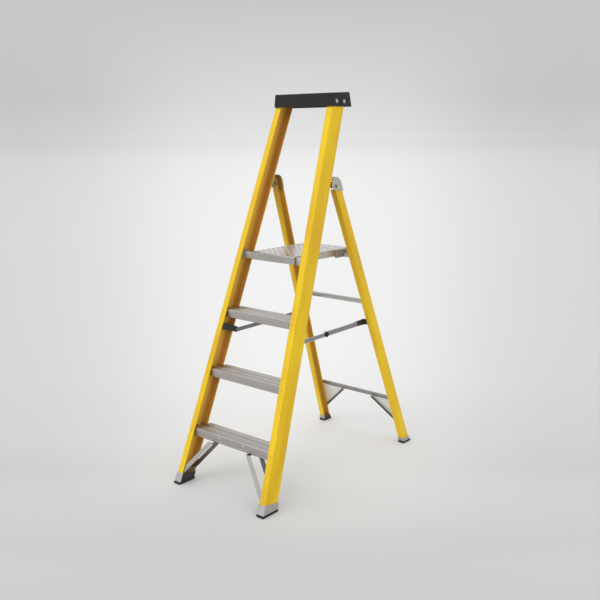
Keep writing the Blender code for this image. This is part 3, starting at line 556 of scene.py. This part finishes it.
# ------------------------------------------------------------------ stiles
def stile(node, key, front, depth, flange, base_y):
    bm = cad_copy(node)
    for f in bm.faces:
        c = f.calc_center_median()
        a = half_width(c.z) - abs(c.x)
        b = c.y - base_y(c.z)
        f.material_index = 0
        # faces inside the channel take the browner material of painted shade
        if 0.0036 < a < flange - 0.0004 and 0.0039 < b < depth - 0.0039:
            f.material_index = 1
        if abs(f.normal.dot(stile_direction(front, 1 if c.x > 0 else -1))) > 0.80:
            f.material_index = 2
    obj = new_object(node + "_form", bm, [grp_outer[key], grp_inner_painted_shade[key], GRP_END], 40.0)
    bevelled(obj, 0.0005, 2, 50.0)
    return place(obj, body_of(node), [node], "grp_yellow")


for label, s in SIDES:
    stile("front_stile_" + label, "front_" + label, True, FRONT_DEPTH, FRONT_FLANGE, front_y)
    stile("rear_stile_" + label, "rear_" + label, False, REAR_DEPTH, REAR_FLANGE, rear_y)

N_FRONT = Vector((0, -1, FRONT_LEAN)).normalized()      # out of the front stiles, forwards
N_FRONT_BACK = -N_FRONT
N_REAR = Vector((0, 1, -REAR_LEAN)).normalized()        # out of the rear stiles, rearwards
N_REAR_FRONT = -N_REAR


def on_front(x, z, back=False):
    return (x, front_y(z) + (FRONT_DEPTH if back else 0.0), z)


def on_rear(x, z, back=False):
    return (x, rear_y(z) + (REAR_DEPTH if back else 0.0), z)


# ------------------------------------------------------------------ treads
def tread_profile():
    """Outline (b rearwards, h up from the top): rounded nose, ribs with a double crest,
    a bead under the front skirt."""
    pts = [(0.0003, -TREAD_FRONT_H), (0.0, -TREAD_FRONT_H + 0.0008)]
    # two pressed lines along the front skirt
    for mid in (-0.0275, -0.0135):
        pts += [(0.0, mid - 0.0016), (0.0008, mid - 0.0008), (0.0008, mid + 0.0008),
                (0.0, mid + 0.0016)]
    for k in range(6):
        t = math.pi / 2 * k / 5
        pts.append((0.0042 - 0.0042 * math.cos(t), -0.0042 + 0.0042 * math.sin(t)))
    pitch = (TREAD_DEPTH - 0.0130) / TREAD_RIBS
    for i in range(TREAD_RIBS):
        b = 0.0065 + i * pitch
        e = b + pitch
        pts += [(b, 0.0), (b + 0.0003, -0.0004), (b + 0.0007, -0.0011), (b + 0.0012, -0.0013),
                (e - 0.0036, -0.0013), (e - 0.0031, -0.0011), (e - 0.0028, -0.0004),
                (e - 0.0025, 0.0), (e - 0.0017, 0.0), (e - 0.0013, -0.0004), (e - 0.0009, 0.0)]
    d = TREAD_DEPTH
    pts += [(d - 0.0022, 0.0), (d - 0.0007, -0.0005), (d, -0.0020)]
    pts += [(d, -TREAD_REAR_H + 0.0006), (d - 0.0006, -TREAD_REAR_H),
            (d - TREAD_WALL, -TREAD_REAR_H), (d - TREAD_WALL, -0.0042),
            (d * 0.5 + 0.003, -0.0042), (d * 0.5 + 0.0012, -0.0100), (d * 0.5 - 0.0012, -0.0100),
            (d * 0.5 - 0.003, -0.0042), (TREAD_WALL, -0.0042),
            (TREAD_WALL, -TREAD_FRONT_H + TREAD_WALL), (0.0070, -TREAD_FRONT_H + TREAD_WALL),
            (0.0074, -TREAD_FRONT_H + 0.0012), (0.0068, -TREAD_FRONT_H)]
    return pts


def boolean_cut(obj, rings):
    bm = bmesh.new()
    loft_into(bm, rings)
    bmesh.ops.recalc_face_normals(bm, faces=bm.faces)
    mesh = bpy.data.meshes.new("cut")
    bm.to_mesh(mesh)
    bm.free()
    tool = bpy.data.objects.new("cut", mesh)
    bpy.context.scene.collection.objects.link(tool)
    mod = obj.modifiers.new("cut", "BOOLEAN")
    mod.operation = "DIFFERENCE"
    mod.solver = "EXACT"
    mod.object = tool
    bpy.context.view_layer.update()
    dg = bpy.context.evaluated_depsgraph_get()
    baked = bpy.data.meshes.new_from_object(obj.evaluated_get(dg), depsgraph=dg)
    obj.modifiers.remove(mod)
    old = obj.data
    obj.data = baked
    bpy.data.meshes.remove(old)
    bpy.data.objects.remove(tool, do_unlink=True)
    bpy.data.meshes.remove(mesh)
    return obj


def grip_bar(bm, x, y, z, length, width, height):
    """Small raised tooth with sloping sides, along X."""
    rings = []
    for dz, grow in ((-0.0002, 0.0), (height * 0.7, -0.00025), (height, -0.0006)):
        hx, hy = length / 2 + grow, width / 2 + grow
        rings.append([(x - hx, y - hy, z + dz), (x + hx, y - hy, z + dz),
                      (x + hx, y + hy, z + dz), (x - hx, y + hy, z + dz)])
    loft_into(bm, rings)


for number in (1, 2, 3):
    top_z = TREAD_1_TOP + (number - 1) * TREAD_RISE
    y0 = front_y(top_z) + TREAD_SETBACK
    outline = [(y0 + b, top_z + h) for b, h in tread_profile()]
    bm = bmesh.new()
    loft_into(bm, [[(s * (half_width(z) - STILE_WALL - 0.0006), y, z) for y, z in outline]
                   for s in (-1, 1)])
    obj = new_object("tread_%d_form" % number, bm, ALU_TREAD[number - 1], 30.0)
    low, high = top_z - 0.06, top_z + 0.02
    for label, s in SIDES:
        edge = []
        for z in (low, high):
            inner = half_width(z) - FRONT_FLANGE - 0.0010
            yb = front_y(z) + FRONT_DEPTH - 0.0042 - 0.0008
            edge.append([(s * inner, yb, z), (s * (inner + 0.05), yb, z),
                         (s * (inner + 0.05), yb + 0.08, z), (s * inner, yb + 0.08, z)])
        boolean_cut(obj, edge)
    obj.data.shade_smooth()
    obj.data.set_sharp_from_angle(angle=math.radians(30))
    place(obj, "front_frame", ["tread_%d" % number])

    # grip teeth on every other rib, in staggered dashes
    pitch = (TREAD_DEPTH - 0.0130) / TREAD_RIBS
    bm = bmesh.new()
    reach = half_width(top_z) - FRONT_FLANGE - 0.0060
    for i in range(0, TREAD_RIBS, 2):
        y = y0 + 0.0065 + (i + 1) * pitch - 0.0017
        x = -reach + (0.008 if (i // 2) % 2 else 0.0)
        while x < reach - 0.014:
            grip_bar(bm, x + 0.007, y, top_z, 0.0120, 0.0022, 0.0007)
            x += 0.0165
    place(new_object("tread_%d_grip" % number, bm, ALU_TREAD[number - 1], 25.0), "front_frame")

    # end brackets: a flat plate under each end, riveted to both flanges of the stile
    for label, s in SIDES:
        bm = bmesh.new()
        zb = top_z - 0.0046
        rings = []
        for z in (zb - 0.0018, zb - 0.0240):
            x_out = half_width(z) - STILE_WALL - 0.0008
            ya = front_y(z) + TREAD_SETBACK + TREAD_WALL + 0.0006
            yb = front_y(z) + FRONT_DEPTH - 0.0056
            rings.append([(s * x_out, ya, z), (s * (x_out - 0.0022), ya, z),
                          (s * (x_out - 0.0022), yb, z), (s * x_out, yb, z)])
        loft_into(bm, rings)
        obj = new_object("tread_%d_end_%s" % (number, label), bm, ALU_CAST)
        bevelled(obj, 0.0005)
        place(obj, "front_frame")

# ------------------------------------------------------------------ plain parts, edges broken
for label, s in SIDES:
    brace = cad_copy("tread_brace_" + label)
    # painted shade: the brace's rear part, under the tread, takes the darker copy of the aluminium
    for f in brace.faces:
        c = f.calc_center_median()
        f.material_index = 1 if c.y - front_y(c.z) > 0.0090 else 0
    brace = new_object("tread_brace_%s_form" % label, brace, [ALU_BRACE, ALU_PAINTED_SHADE])
    bevelled(brace, 0.0005)
    place(brace, "front_frame", ["tread_brace_" + label])
    refined("front_shoe_" + label, SHOE, 0.0011, 3)
    refined("rear_shoe_" + label, SHOE, 0.0010, 3)
    refined("pivot_lug_" + label, ALU_LUG, 0.0006)
    refined("pivot_bracket_" + label, ALU_CAST, 0.0009, 3)
    gusset = cad_copy("rear_gusset_" + label)
    x0, z0 = GUSSET_X, BAR_LOWER[0] - BAR_LOWER[1] / 2 - 0.0004
    x1, z1 = half_width(GUSSET_LOW_Z) - 0.0270, GUSSET_LOW_Z
    run = Vector((x1 - x0, z1 - z0)).normalized()
    inwards = Vector((-run.y, run.x))
    # a cut along the fold marks off a band of painted shade, wider on the left gusset
    point = Vector((s * x0, rear_y(z0) + REAR_DEPTH + 0.0006, z0)) + \
        Vector((s * inwards.x, REAR_LEAN * inwards.y, inwards.y)) * (0.0105 if s < 0 else 0.0020)
    along = Vector((s * run.x, REAR_LEAN * run.y, run.y))
    bmesh.ops.bisect_plane(gusset, geom=gusset.verts[:] + gusset.edges[:] + gusset.faces[:],
                           plane_co=point, plane_no=along.cross(N_REAR), dist=1e-5)
    for f in gusset.faces:
        # the plate is pale; a band along its folded edge, and the faces square to the plate, take the
        # darker copy as painted shade
        f.material_index = 0 if abs(f.normal.dot(N_REAR)) > 0.7 and \
            f.calc_area() > 0.0026 else 1
    gusset = new_object("rear_gusset_%s_form" % label, gusset, [ALU_PLATE, ALU_PAINTED_SHADE])
    bevelled(gusset, 0.0004)
    place(gusset, "rear_frame", ["rear_gusset_" + label])
    refined("stay_bracket_front_" + label, NYLON, 0.0010, 3)
    refined("stay_bracket_rear_" + label, POWDER, 0.0007)
    refined("platform_mount_" + label, ALU_MOUNT, 0.0012, 3)
    refined("platform_hanger_" + label, ALU_CAST, 0.0010, 3)
    refined("platform_hook_" + label, POWDER_GREY, 0.0007)
    refined("knuckle_head_" + label, POWDER_DARK, 0.0004, 2, 40.0)
    refined("knuckle_tail_" + label, POWDER_DARK, 0.0004, 2, 40.0)
    for base in ("stay_pin_front_", "stay_pin_rear_", "platform_pin_"):
        refined(base + label, STEEL_DULL, 0.0003, 2, 40.0)
    refined("pivot_bolt_" + label, BOLT_PAINTED_SHADE, 0.0003, 2, 40.0)
    for where in ("front", "rear"):
        refined("cap_bolt_%s_%s" % (label, where), STEEL_CAP, 0.0003, 2, 40.0)
refined("platform_stiffener", ALU_DECK, 0.0006)


# ------------------------------------------------------------------ soles
def sole(prefix, label, s, base_y, depth, flange):
    """Rubber sole with upright grip grooves round its side."""
    node = prefix + "_sole_" + label
    lo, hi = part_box(node)
    x0, x1, y0, y1 = lo.x, hi.x, lo.y, hi.y
    skew = TAPER * 0.009
    rings = []
    for z, grow in ((0.0, -0.0011), (0.0010, -0.0002), (0.0022, 0.0), (0.0078, 0.0), (0.0090, -0.0005)):
        base = fillet([(x0 - grow, y0 - grow), (x1 + grow, y0 - grow),
                       (x1 + grow, y1 + grow), (x0 - grow, y1 + grow)], 0.0022, 4)
        ring = []
        total = 0.0
        for i, p in enumerate(base):
            q = Vector(base[(i + 1) % len(base)])
            p = Vector(p)
            steps = max(1, int((q - p).length / 0.0016))
            side = Vector(((q - p).y, -(q - p).x))
            if side.length > 0:
                side.normalize()
            for k in range(steps):
                c = p.lerp(q, k / steps)
                groove = 0.0
                if steps > 3 and 0.0008 < z < 0.0085 and 1 < k < steps - 1:
                    groove = -0.0007 if (k % 3) == 0 else 0.0
                ring.append((c.x + side.x * groove, c.y + side.y * groove, z))
        rings.append(ring)
    bm = bmesh.new()
    loft_into(bm, rings)
    obj = new_object(node + "_form", bm, RUBBER, 30.0)
    place(obj, body_of(node), [node])


for label, s in SIDES:
    sole("front", label, s, front_y, FRONT_DEPTH, FRONT_FLANGE)
    sole("rear", label, s, rear_y, REAR_DEPTH, REAR_FLANGE)


# ------------------------------------------------------------------ shoe plugs
def plug(prefix, label, s, base_y, depth, flange, top_front, top_rear, body):
    """Black panel on the open side of the foot, pressed with upright ribs."""
    count = 7
    b0, b1 = 0.0016, depth - 0.0016
    rings = []
    for t, lift in ((0.0, 0.0002), (0.05, 0.0009), (0.95, 0.0009), (1.0, 0.0002)):
        def spot(b, inwards):
            z = 0.0098 + (top_front + (top_rear - top_front) * b / depth - 0.0104) * t
            return (s * (half_width(z) - flange - 0.0025 - inwards), base_y(z) + b, z)
        ring = [spot(b0, -0.0006)]
        for k in range(count):
            p = b0 + (b1 - b0) * (k + 0.15) / count
            q = b0 + (b1 - b0) * (k + 0.85) / count
            ring += [spot(p - 0.0004, lift * 0.5), spot(p + 0.0004, lift + 0.0004),
                     spot(q - 0.0004, lift + 0.0004), spot(q + 0.0004, lift * 0.5)]
        ring.append(spot(b1, -0.0006))
        rings.append(ring)
    bm = bmesh.new()
    loft_into(bm, rings)
    place(new_object("%s_shoe_plug_%s" % (prefix, label), bm, NYLON, 30.0), body)


for label, s in SIDES:
    plug("front", label, s, front_y, FRONT_DEPTH, FRONT_FLANGE, 0.0480, 0.0360, "front_frame")
    plug("rear", label, s, rear_y, REAR_DEPTH, REAR_FLANGE, 0.0275, 0.0275, "rear_frame")


# ------------------------------------------------------------------ rear bars
def bar(node, middle, height, mat=None):
    """Pressed channel: the front is folded to a shallow ridge, with turned edges."""
    back = REAR_DEPTH + 0.0006
    half = height / 2
    depth, wall = 0.0120, 0.0020
    prof = [(0.0026, -half + 0.0006), (0.0014, -half + 0.0024), (0.0002, -0.0016), (0.0, 0.0),
            (0.0002, 0.0016), (0.0014, half - 0.0024), (0.0026, half - 0.0006), (0.0036, half),
            (depth - 0.0004, half), (depth, half - 0.0006), (depth, half - wall),
            (0.0050, half - wall), (0.0034, half - wall - 0.0012), (0.0022, 0.0),
            (0.0034, -half + wall + 0.0012), (0.0050, -half + wall),
            (depth, -half + wall), (depth, -half + 0.0006), (depth - 0.0004, -half),
            (0.0036, -half)]
    rings = []
    for s in (-1, 1):
        rings.append([(s * (half_width(middle + h) - 0.0150),
                       rear_y(middle + h) + back + b, middle + h) for b, h in prof])
    bm = bmesh.new()
    loft_into(bm, rings)
    place(new_object(node + "_form", bm, mat or ALU_BAR, 24.0), "rear_frame", [node])


bar("rear_crossbar_lower", *BAR_LOWER, ALU_BAR_LOW)
bar("rear_crossbar_upper", *BAR_UPPER)
bar("platform_support_bar", *BAR_SUPPORT)


# ------------------------------------------------------------------ stays
def stay_arm(node, a, b, radius, x_in, x_out, body, mat):
    """Pressed strip with round ends, rolled edges and a sunk panel on both faces."""
    a, b = Vector(a), Vector(b)
    along = (b - a).normalized()
    angle = math.atan2(along.y, along.x)

    def outline(r):
        pts = []
        for centre, base in ((b, angle - math.pi / 2), (a, angle + math.pi / 2)):
            for i in range(17):
                t = base + math.pi * i / 16
                pts.append((centre.x + r * math.cos(t), centre.y + r * math.sin(t)))
        return pts
    s = 1 if x_out > 0 else -1
    lo, hi = min(abs(x_in), abs(x_out)), max(abs(x_in), abs(x_out))
    rings = []
    for x, r in ((lo + 0.0009, radius - 0.0034), (lo + 0.0009, radius - 0.0030),
                 (lo + 0.0002, radius - 0.0023), (lo, radius - 0.0014),
                 (lo + 0.0003, radius - 0.0004), (lo + 0.0009, radius),
                 (hi - 0.0009, radius), (hi - 0.0003, radius - 0.0004),
                 (hi, radius - 0.0014), (hi - 0.0002, radius - 0.0023),
                 (hi - 0.0009, radius - 0.0030), (hi - 0.0009, radius - 0.0034)):
        rings.append([(s * x, y, z) for y, z in outline(r)])
    bm = bmesh.new()
    loft_into(bm, rings)
    bmesh.ops.recalc_face_normals(bm, faces=bm.faces)
    for f in bm.faces:
        # painted shade: faces turned inwards take the darkest copy, the sunk outer panel a darker one
        if f.normal.x * s < -0.3:
            f.material_index = 2
        elif len(f.verts) > 4:
            f.material_index = 1
    place(new_object(node + "_form", bm, [mat, ALU_STAY_PANEL_SHADE, ALU_STAY_IN_SHADE], 40.0), body, [node])


for label, s in SIDES:
    stay_arm("stay_front_arm_" + label, STAY_FRONT_PIVOT, STAY_KNUCKLE, 0.0090,
             s * 0.1805, s * 0.1840, "stay_front_arm_" + label, ALU_STAY)
    stay_arm("stay_rear_arm_" + label, STAY_KNUCKLE, STAY_REAR_PIVOT, 0.0110,
             s * 0.1760, s * 0.1798, "stay_rear_arm_" + label, ALU_STAY)

# ------------------------------------------------------------------ platform deck
deck = cad_copy("platform_deck")
for f in deck.faces:
    # side faces take the lighter, warmer copy: painted warm reflection
    f.material_index = 1 if abs(f.normal.x) > 0.6 else 0
obj = new_object("platform_deck_form", deck, [ALU_DECK, ALU_DECK_SIDE_REFLECTION])
bevelled(obj, 0.0007, 2)
place(obj, "platform", ["platform_deck"])


def lozenge(bm, cx, cy, z, angle, length, width, height):
    """Raised chequer bar: a lens outline with a crowned top."""
    ca, sa = math.cos(angle), math.sin(angle)

    def put(u, v, h):
        return (cx + u * ca - v * sa, cy + u * sa + v * ca, z + h)
    n = 6
    rings = []
    for grow, h in ((1.0, -0.0002), (0.80, height * 0.62), (0.42, height)):
        ring = []
        for i in range(n + 1):
            t = -1 + 2 * i / n
            ring.append(put(length / 2 * t * (0.6 + 0.4 * grow), -width / 2 * grow * (1 - t * t), h))
        for i in range(1, n):
            t = 1 - 2 * i / n
            ring.append(put(length / 2 * t * (0.6 + 0.4 * grow), width / 2 * grow * (1 - t * t), h))
        rings.append(ring)
    loft_into(bm, rings)


bm = bmesh.new()
pitch = 0.0165
nx = int((2 * DECK_HALF_W - 0.016) / pitch)
ny = int((DECK_REAR_Y - DECK_FRONT_Y - 0.018) / pitch)
for i in range(nx + 1):
    for j in range(ny + 1):
        cx = (i - nx / 2) * pitch
        cy = (DECK_FRONT_Y + DECK_REAR_Y) / 2 + (j - ny / 2) * pitch
        lozenge(bm, cx, cy, DECK_TOP_Z, math.radians(45 if (i + j) % 2 else -45),
                0.0150, 0.0046, 0.0009)
place(new_object("deck_chequer", bm, ALU_CHEQUER, 50.0), "platform")

# two raised lines along the front lip of the deck
bm = bmesh.new()
for zc in (0.9640, 0.9735):
    rings = []
    for x in (-DECK_HALF_W + 0.006, DECK_HALF_W - 0.006):
        rings.append([(x, DECK_FRONT_Y + 0.0002, zc - 0.0016), (x, DECK_FRONT_Y - 0.0006, zc - 0.0008),
                      (x, DECK_FRONT_Y - 0.0006, zc + 0.0008), (x, DECK_FRONT_Y + 0.0002, zc + 0.0016)])
    loft_into(bm, rings)
place(new_object("deck_lip_lines", bm, ALU_DECK, 30.0), "platform")

# ------------------------------------------------------------------ top cap
obj = refined("top_cap", CAP, 0.0011, 3, 34.0)

# washers under the heads of its bolts, on the end walls
CAP_DRAFT = 0.0046 / 0.0530                  # slope of the end walls
bm = bmesh.new()
for label, s in SIDES:
    lo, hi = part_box("cap_bolt_%s_front" % label)
    face = (max(abs(lo[0]), abs(hi[0])) - 0.0027) + 0.0001
    for where in ("front", "rear"):
        lo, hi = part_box("cap_bolt_%s_%s" % (label, where))
        y, z = (lo[1] + hi[1]) / 2, (lo[2] + hi[2]) / 2
        n = 24
        rings = []
        for out, r in ((0.0001, 0.0031), (0.0001, 0.0084), (0.0008, 0.0084), (0.0011, 0.0080),
                       (0.0011, 0.0031)):
            rings.append([bm.verts.new((s * (face + out - CAP_DRAFT * r * math.sin(2 * math.pi * i / n)),
                                        y + r * math.cos(2 * math.pi * i / n),
                                        z + r * math.sin(2 * math.pi * i / n)))
                          for i in range(n)])
        for a, b in zip(rings, rings[1:] + rings[:1]):
            for i in range(n):
                j = (i + 1) % n
                bm.faces.new((a[i], a[j], b[j], b[i]))
bmesh.ops.recalc_face_normals(bm, faces=bm.faces)
place(new_object("cap_washers", bm, STEEL_CAP, 30.0), "front_frame")

# tray details: ribs across the tool tray
bm = bmesh.new()
tray_z = 1.6445
for k in range(9):
    x = -0.128 + 0.032 * k
    rings = []
    for dz, g in ((-0.0002, 0.0), (0.0010, -0.0002), (0.0014, -0.0008)):
        rings.append([(x - 0.0012 - g, 0.046, tray_z + dz), (x + 0.0012 + g, 0.046, tray_z + dz),
                      (x + 0.0012 + g, 0.138, tray_z + dz), (x - 0.0012 - g, 0.138, tray_z + dz)])
    loft_into(bm, rings)
place(new_object("cap_tray_ribs", bm, CAP, 30.0), "front_frame")

# ------------------------------------------------------------------ rivets
spots, dark = [], []
for number in (1, 2, 3):
    top_z = TREAD_1_TOP + (number - 1) * TREAD_RISE
    for label, s in SIDES:
        for dz in (-0.0120,):
            z = top_z + dz
            x = s * (half_width(z) - 0.0150)
            dark.append((on_front(x, z), N_FRONT))
            spots.append((on_front(x, z, True), N_FRONT_BACK))
for label, s in SIDES:
    z = 0.0760
    dark.append((on_front(s * (half_width(z) - 0.0150), z), N_FRONT))
    spots.append((on_front(s * (half_width(z) - 0.0150), z, True), N_FRONT_BACK))
rivets("rivets_front_flange", dark, 0.0030, 0.0014, "front_frame", RIVET_BRASS)
rivets("rivets_front_flange_rear", spots, 0.0034, 0.0016, "front_frame")

# on the skirt of tread 1, where the braces are fixed
z = TREAD_1_TOP - 0.0095
y = front_y(TREAD_1_TOP) + TREAD_SETBACK
rivets("rivets_tread_1", [((s * 0.0700, y, z), (0, -1, 0)) for label, s in SIDES],
       0.0036, 0.0016, "front_frame")

# rear frame: bars to the rear flanges, gussets, stay brackets
rear = []
for mid, h in (BAR_LOWER, BAR_UPPER, BAR_SUPPORT):
    for label, s in SIDES:
        z = mid
        for dx in (0.0205,):
            x = s * (half_width(z) - dx)
            rear.append(((x, rear_y(z) + REAR_DEPTH + 0.0006 + 0.0022, z), N_REAR))
rivets("rivets_bars", rear, 0.0032, 0.0014, "rear_frame")
rear = []
for label, s in SIDES:
    for x, z in ((half_width(0.0888) - 0.0205, 0.0888), (0.0935, 0.2070)):
        rear.append(((s * x, rear_y(z) + REAR_DEPTH + 0.0024, z), N_REAR))
rivets("rivets_rear_frame", rear, 0.0026, 0.0012, "rear_frame")
rear = []
for label, s in SIDES:
    for dz in (-0.0085, 0.0085):
        z = STAY_REAR_PIVOT[1] + dz
        x = s * (half_width(z) - 0.0190)
        rear.append(((x, rear_y(z), z), N_REAR_FRONT))
rivets("rivets_stay_brackets", rear, 0.0020, 0.0008, "rear_frame", RIVET_DARK)

# pivot brackets: fixed to the outside of the rear stile
pts = []
rear_dir = Vector((REAR_LEAN, 1.0)).normalized()
rear_out = Vector((rear_dir.y, -rear_dir.x))
for label, s in SIDES:
    n = Vector((s, 0, TAPER)).normalized()
    for along, across in ((-0.0150, 0.0060), (0.0120, 0.0130), (0.0120, -0.0120)):
        p = Vector(MAIN_PIVOT) - rear_dir * along + rear_out * across
        pts.append(((s * (half_width(p.y) + 0.0030), p.x, p.y), n))
rivets("rivets_pivot_brackets", pts, 0.0024, 0.0011, "rear_frame")

# platform: hook rivets and stiffener rivets
pts = []
for label, s in SIDES:
    for y, z in ((0.1080, 0.9660), (0.1420, 0.9660)):
        pts.append(((s * (DECK_HALF_W + 0.0040), y, z), (s, 0, 0)))
rivets("rivets_hooks", pts, 0.0028, 0.0013, "platform")
pts = []
for x in (-0.033, 0.033):
    for y in (-0.140, -0.020, 0.100, 0.180):
        pts.append(((x, y, DECK_TOP_Z), (0, 0, 1)))
rivets("rivets_deck", pts, 0.0032, 0.0008, "platform")

# ------------------------------------------------------------------ stage, light, camera
FRONT_RIGHT = Vector((0.65, -0.76, 0.0)).normalized()      # the corner the light pool fades to


def stage_material():
    """Pale seamless floor: a light pool under and behind the object, greyer towards the
    front right corner and away to the sides."""
    m = Tree("studio_floor")
    near = m.vmath("DOT_PRODUCT", m.coord, tuple(FRONT_RIGHT))
    side = m.math("ABSOLUTE", m.vmath("DOT_PRODUCT", m.coord,
                                      (FRONT_RIGHT.y, -FRONT_RIGHT.x, 0.0)))
    side = m.math("DIVIDE", side, m.math("MAXIMUM", m.math("SUBTRACT", 3.46, near), 0.8))
    base = m.ramp(m.range(near, -1.2, 10.8, 0.0, 1.0), (0.0, 0.855), (0.078, 0.835),
                  (0.121, 0.77), (0.148, 0.68), (0.16, 0.63), (0.1725, 0.605), (0.2, 0.59),
                  (0.35, 0.66), (0.767, 0.82))
    base = m.mix(m.range(near, -8.0, -85.0, 0.0, 0.78), base, (0.70, 0.70, 0.70, 1.0))
    fall = m.ramp(m.range(side, 0.0, 2.0, 0.0, 1.0), (0.0, 1.0), (0.03, 0.99), (0.065, 0.955),
                  (0.095, 0.885), (0.1225, 0.82), (0.16, 0.77), (0.2, 0.75), (0.35, 0.80),
                  (0.6, 0.95), (1.0, 1.0))
    fall = m.mix(m.range(near, 0.10, 0.90, 0.0, 1.0), fall, (1.0, 1.0, 1.0, 1.0))
    base = m.mix(1.0, base, fall, "MULTIPLY")
    soft = m.noise(m.coord, 3.0, 2.0)
    base = m.mix(m.math("MULTIPLY", soft, 0.04), base, srgb(205, 205, 206))
    m.set(Base_Color=base, Roughness=0.9, Specular_IOR_Level=0.05)
    return m.mat


bm = bmesh.new()
segs = 72
centre = bm.verts.new((0, 0, 0))
prev = None
for r in (1.0, 2.0, 4.0, 8.0, 16.0, 32.0, 64.0, 128.0, 256.0, 500.0):
    ring = [bm.verts.new((r * math.cos(2 * math.pi * i / segs), r * math.sin(2 * math.pi * i / segs), 0))
            for i in range(segs)]
    for i in range(segs):
        j = (i + 1) % segs
        if prev is None:
            bm.faces.new((centre, ring[i], ring[j]))
        else:
            bm.faces.new((prev[i], ring[i], ring[j], prev[j]))
    prev = ring
floor = new_object("studio_floor", bm, stage_material(), 60.0, recalc=False)
floor.location.z = -0.0004

# surroundings: pale at the horizon, a greyer band above it, bright again higher up, and
# dimmer on the side of the front right corner
world = bpy.data.worlds.new("studio")
bpy.context.scene.world = world
world.use_nodes = True
wt = world.node_tree
bg = wt.nodes["Background"]
direction = wt.nodes.new("ShaderNodeTexCoord").outputs["Generated"]
split = wt.nodes.new("ShaderNodeSeparateXYZ")
wt.links.new(direction, split.inputs[0])
sky = wt.nodes.new("ShaderNodeValToRGB")
stops = ((0.0, 0.765), (0.002, 0.765), (0.04, 0.707), (0.09, 0.645), (0.145, 0.578), (0.26, 0.70),
         (0.40, 0.84), (0.70, 0.84), (1.0, 0.76))
while len(sky.color_ramp.elements) < len(stops):
    sky.color_ramp.elements.new(0.5)
for e, (pos, v) in zip(sky.color_ramp.elements, stops):
    e.position = pos
    e.color = (v, v * 1.003, v * 1.004, 1.0)
wt.links.new(split.outputs[2], sky.inputs[0])
dot = wt.nodes.new("ShaderNodeVectorMath")
dot.operation = "DOT_PRODUCT"
wt.links.new(direction, dot.inputs[0])
dot.inputs[1].default_value = tuple(FRONT_RIGHT)
dim = wt.nodes.new("ShaderNodeMapRange")
wt.links.new(dot.outputs["Value"], dim.inputs["Value"])
for key, val in (("From Min", -0.2), ("From Max", 0.9), ("To Min", 1.0), ("To Max", 0.80)):
    dim.inputs[key].default_value = val
# the pool of light behind the object: darker to the sides of it, low down only
split2 = wt.nodes.new("ShaderNodeVectorMath")
split2.operation = "DOT_PRODUCT"
wt.links.new(direction, split2.inputs[0])
split2.inputs[1].default_value = (-FRONT_RIGHT.y, FRONT_RIGHT.x, 0.0)
lateral = wt.nodes.new("ShaderNodeMath")
lateral.operation = "ABSOLUTE"
wt.links.new(split2.outputs["Value"], lateral.inputs[0])
pool = wt.nodes.new("ShaderNodeValToRGB")
stops = ((0.0, 1.0), (0.06, 0.99), (0.13, 0.955), (0.19, 0.885), (0.24, 0.82), (0.32, 0.78),
         (0.5, 0.86), (0.8, 1.0))
while len(pool.color_ramp.elements) < len(stops):
    pool.color_ramp.elements.new(0.5)
for e, (pos, v) in zip(pool.color_ramp.elements, stops):
    e.position = pos
    e.color = (v, v, v, 1.0)
wt.links.new(lateral.outputs[0], pool.inputs[0])
low = wt.nodes.new("ShaderNodeMapRange")
wt.links.new(split.outputs[2], low.inputs["Value"])
for key, val in (("From Min", 0.04), ("From Max", 0.15), ("To Min", 1.0), ("To Max", 0.0)):
    low.inputs[key].default_value = val
shade = wt.nodes.new("ShaderNodeMix")
shade.data_type = "RGBA"
shade.blend_type = "MULTIPLY"
wt.links.new(low.outputs["Result"], shade.inputs["Factor"])
wt.links.new(sky.outputs["Color"], shade.inputs[6])
wt.links.new(pool.outputs["Color"], shade.inputs[7])
wt.links.new(shade.outputs[2], bg.inputs["Color"])
wt.links.new(dim.outputs["Result"], bg.inputs["Strength"])


def sun(name, towards, strength, spread, colour=(1, 1, 1)):
    """Large soft light a long way off; towards points from the object to the light."""
    data = bpy.data.lights.new(name, "SUN")
    data.energy = strength
    data.angle = math.radians(spread)
    data.color = colour
    obj = bpy.data.objects.new(name, data)
    obj.rotation_euler = Vector(towards).to_track_quat("Z", "Y").to_euler()
    obj.location = Vector(towards).normalized() * 5.0
    bpy.context.scene.collection.objects.link(obj)
    return obj


sun("key", (-0.10, -0.86, 0.52), 1.15, 70, (1.0, 0.99, 0.97))
sun("side", (0.92, -0.18, 0.40), 0.50, 60, (1.0, 0.99, 0.98))
sun("back", (-0.45, 0.75, 0.55), 0.35, 80, (0.97, 0.98, 1.0))

cam_data = bpy.data.cameras.new("camera")
cam_data.lens = 47.8317
cam_data.sensor_width = 36.0
cam_data.clip_start, cam_data.clip_end = 0.05, 1500.0
cam = bpy.data.objects.new("camera", cam_data)
bpy.context.scene.collection.objects.link(cam)
cam.matrix_world = Matrix(((0.764644563, -0.130083308, 0.631187022, 2.236710548),
                           (0.644437432, 0.160987765, -0.747518122, -2.640252113),
                           (-0.004373750, 0.978346229, 0.206928983, 1.489874959),
                           (0.0, 0.0, 0.0, 1.0)))
bpy.context.scene.camera = cam
bpy.context.scene.view_settings.view_transform = "Standard"
bpy.context.scene.view_settings.look = "None"
bpy.context.scene.view_settings.exposure = 0.0
bpy.context.scene.view_settings.gamma = 1.0
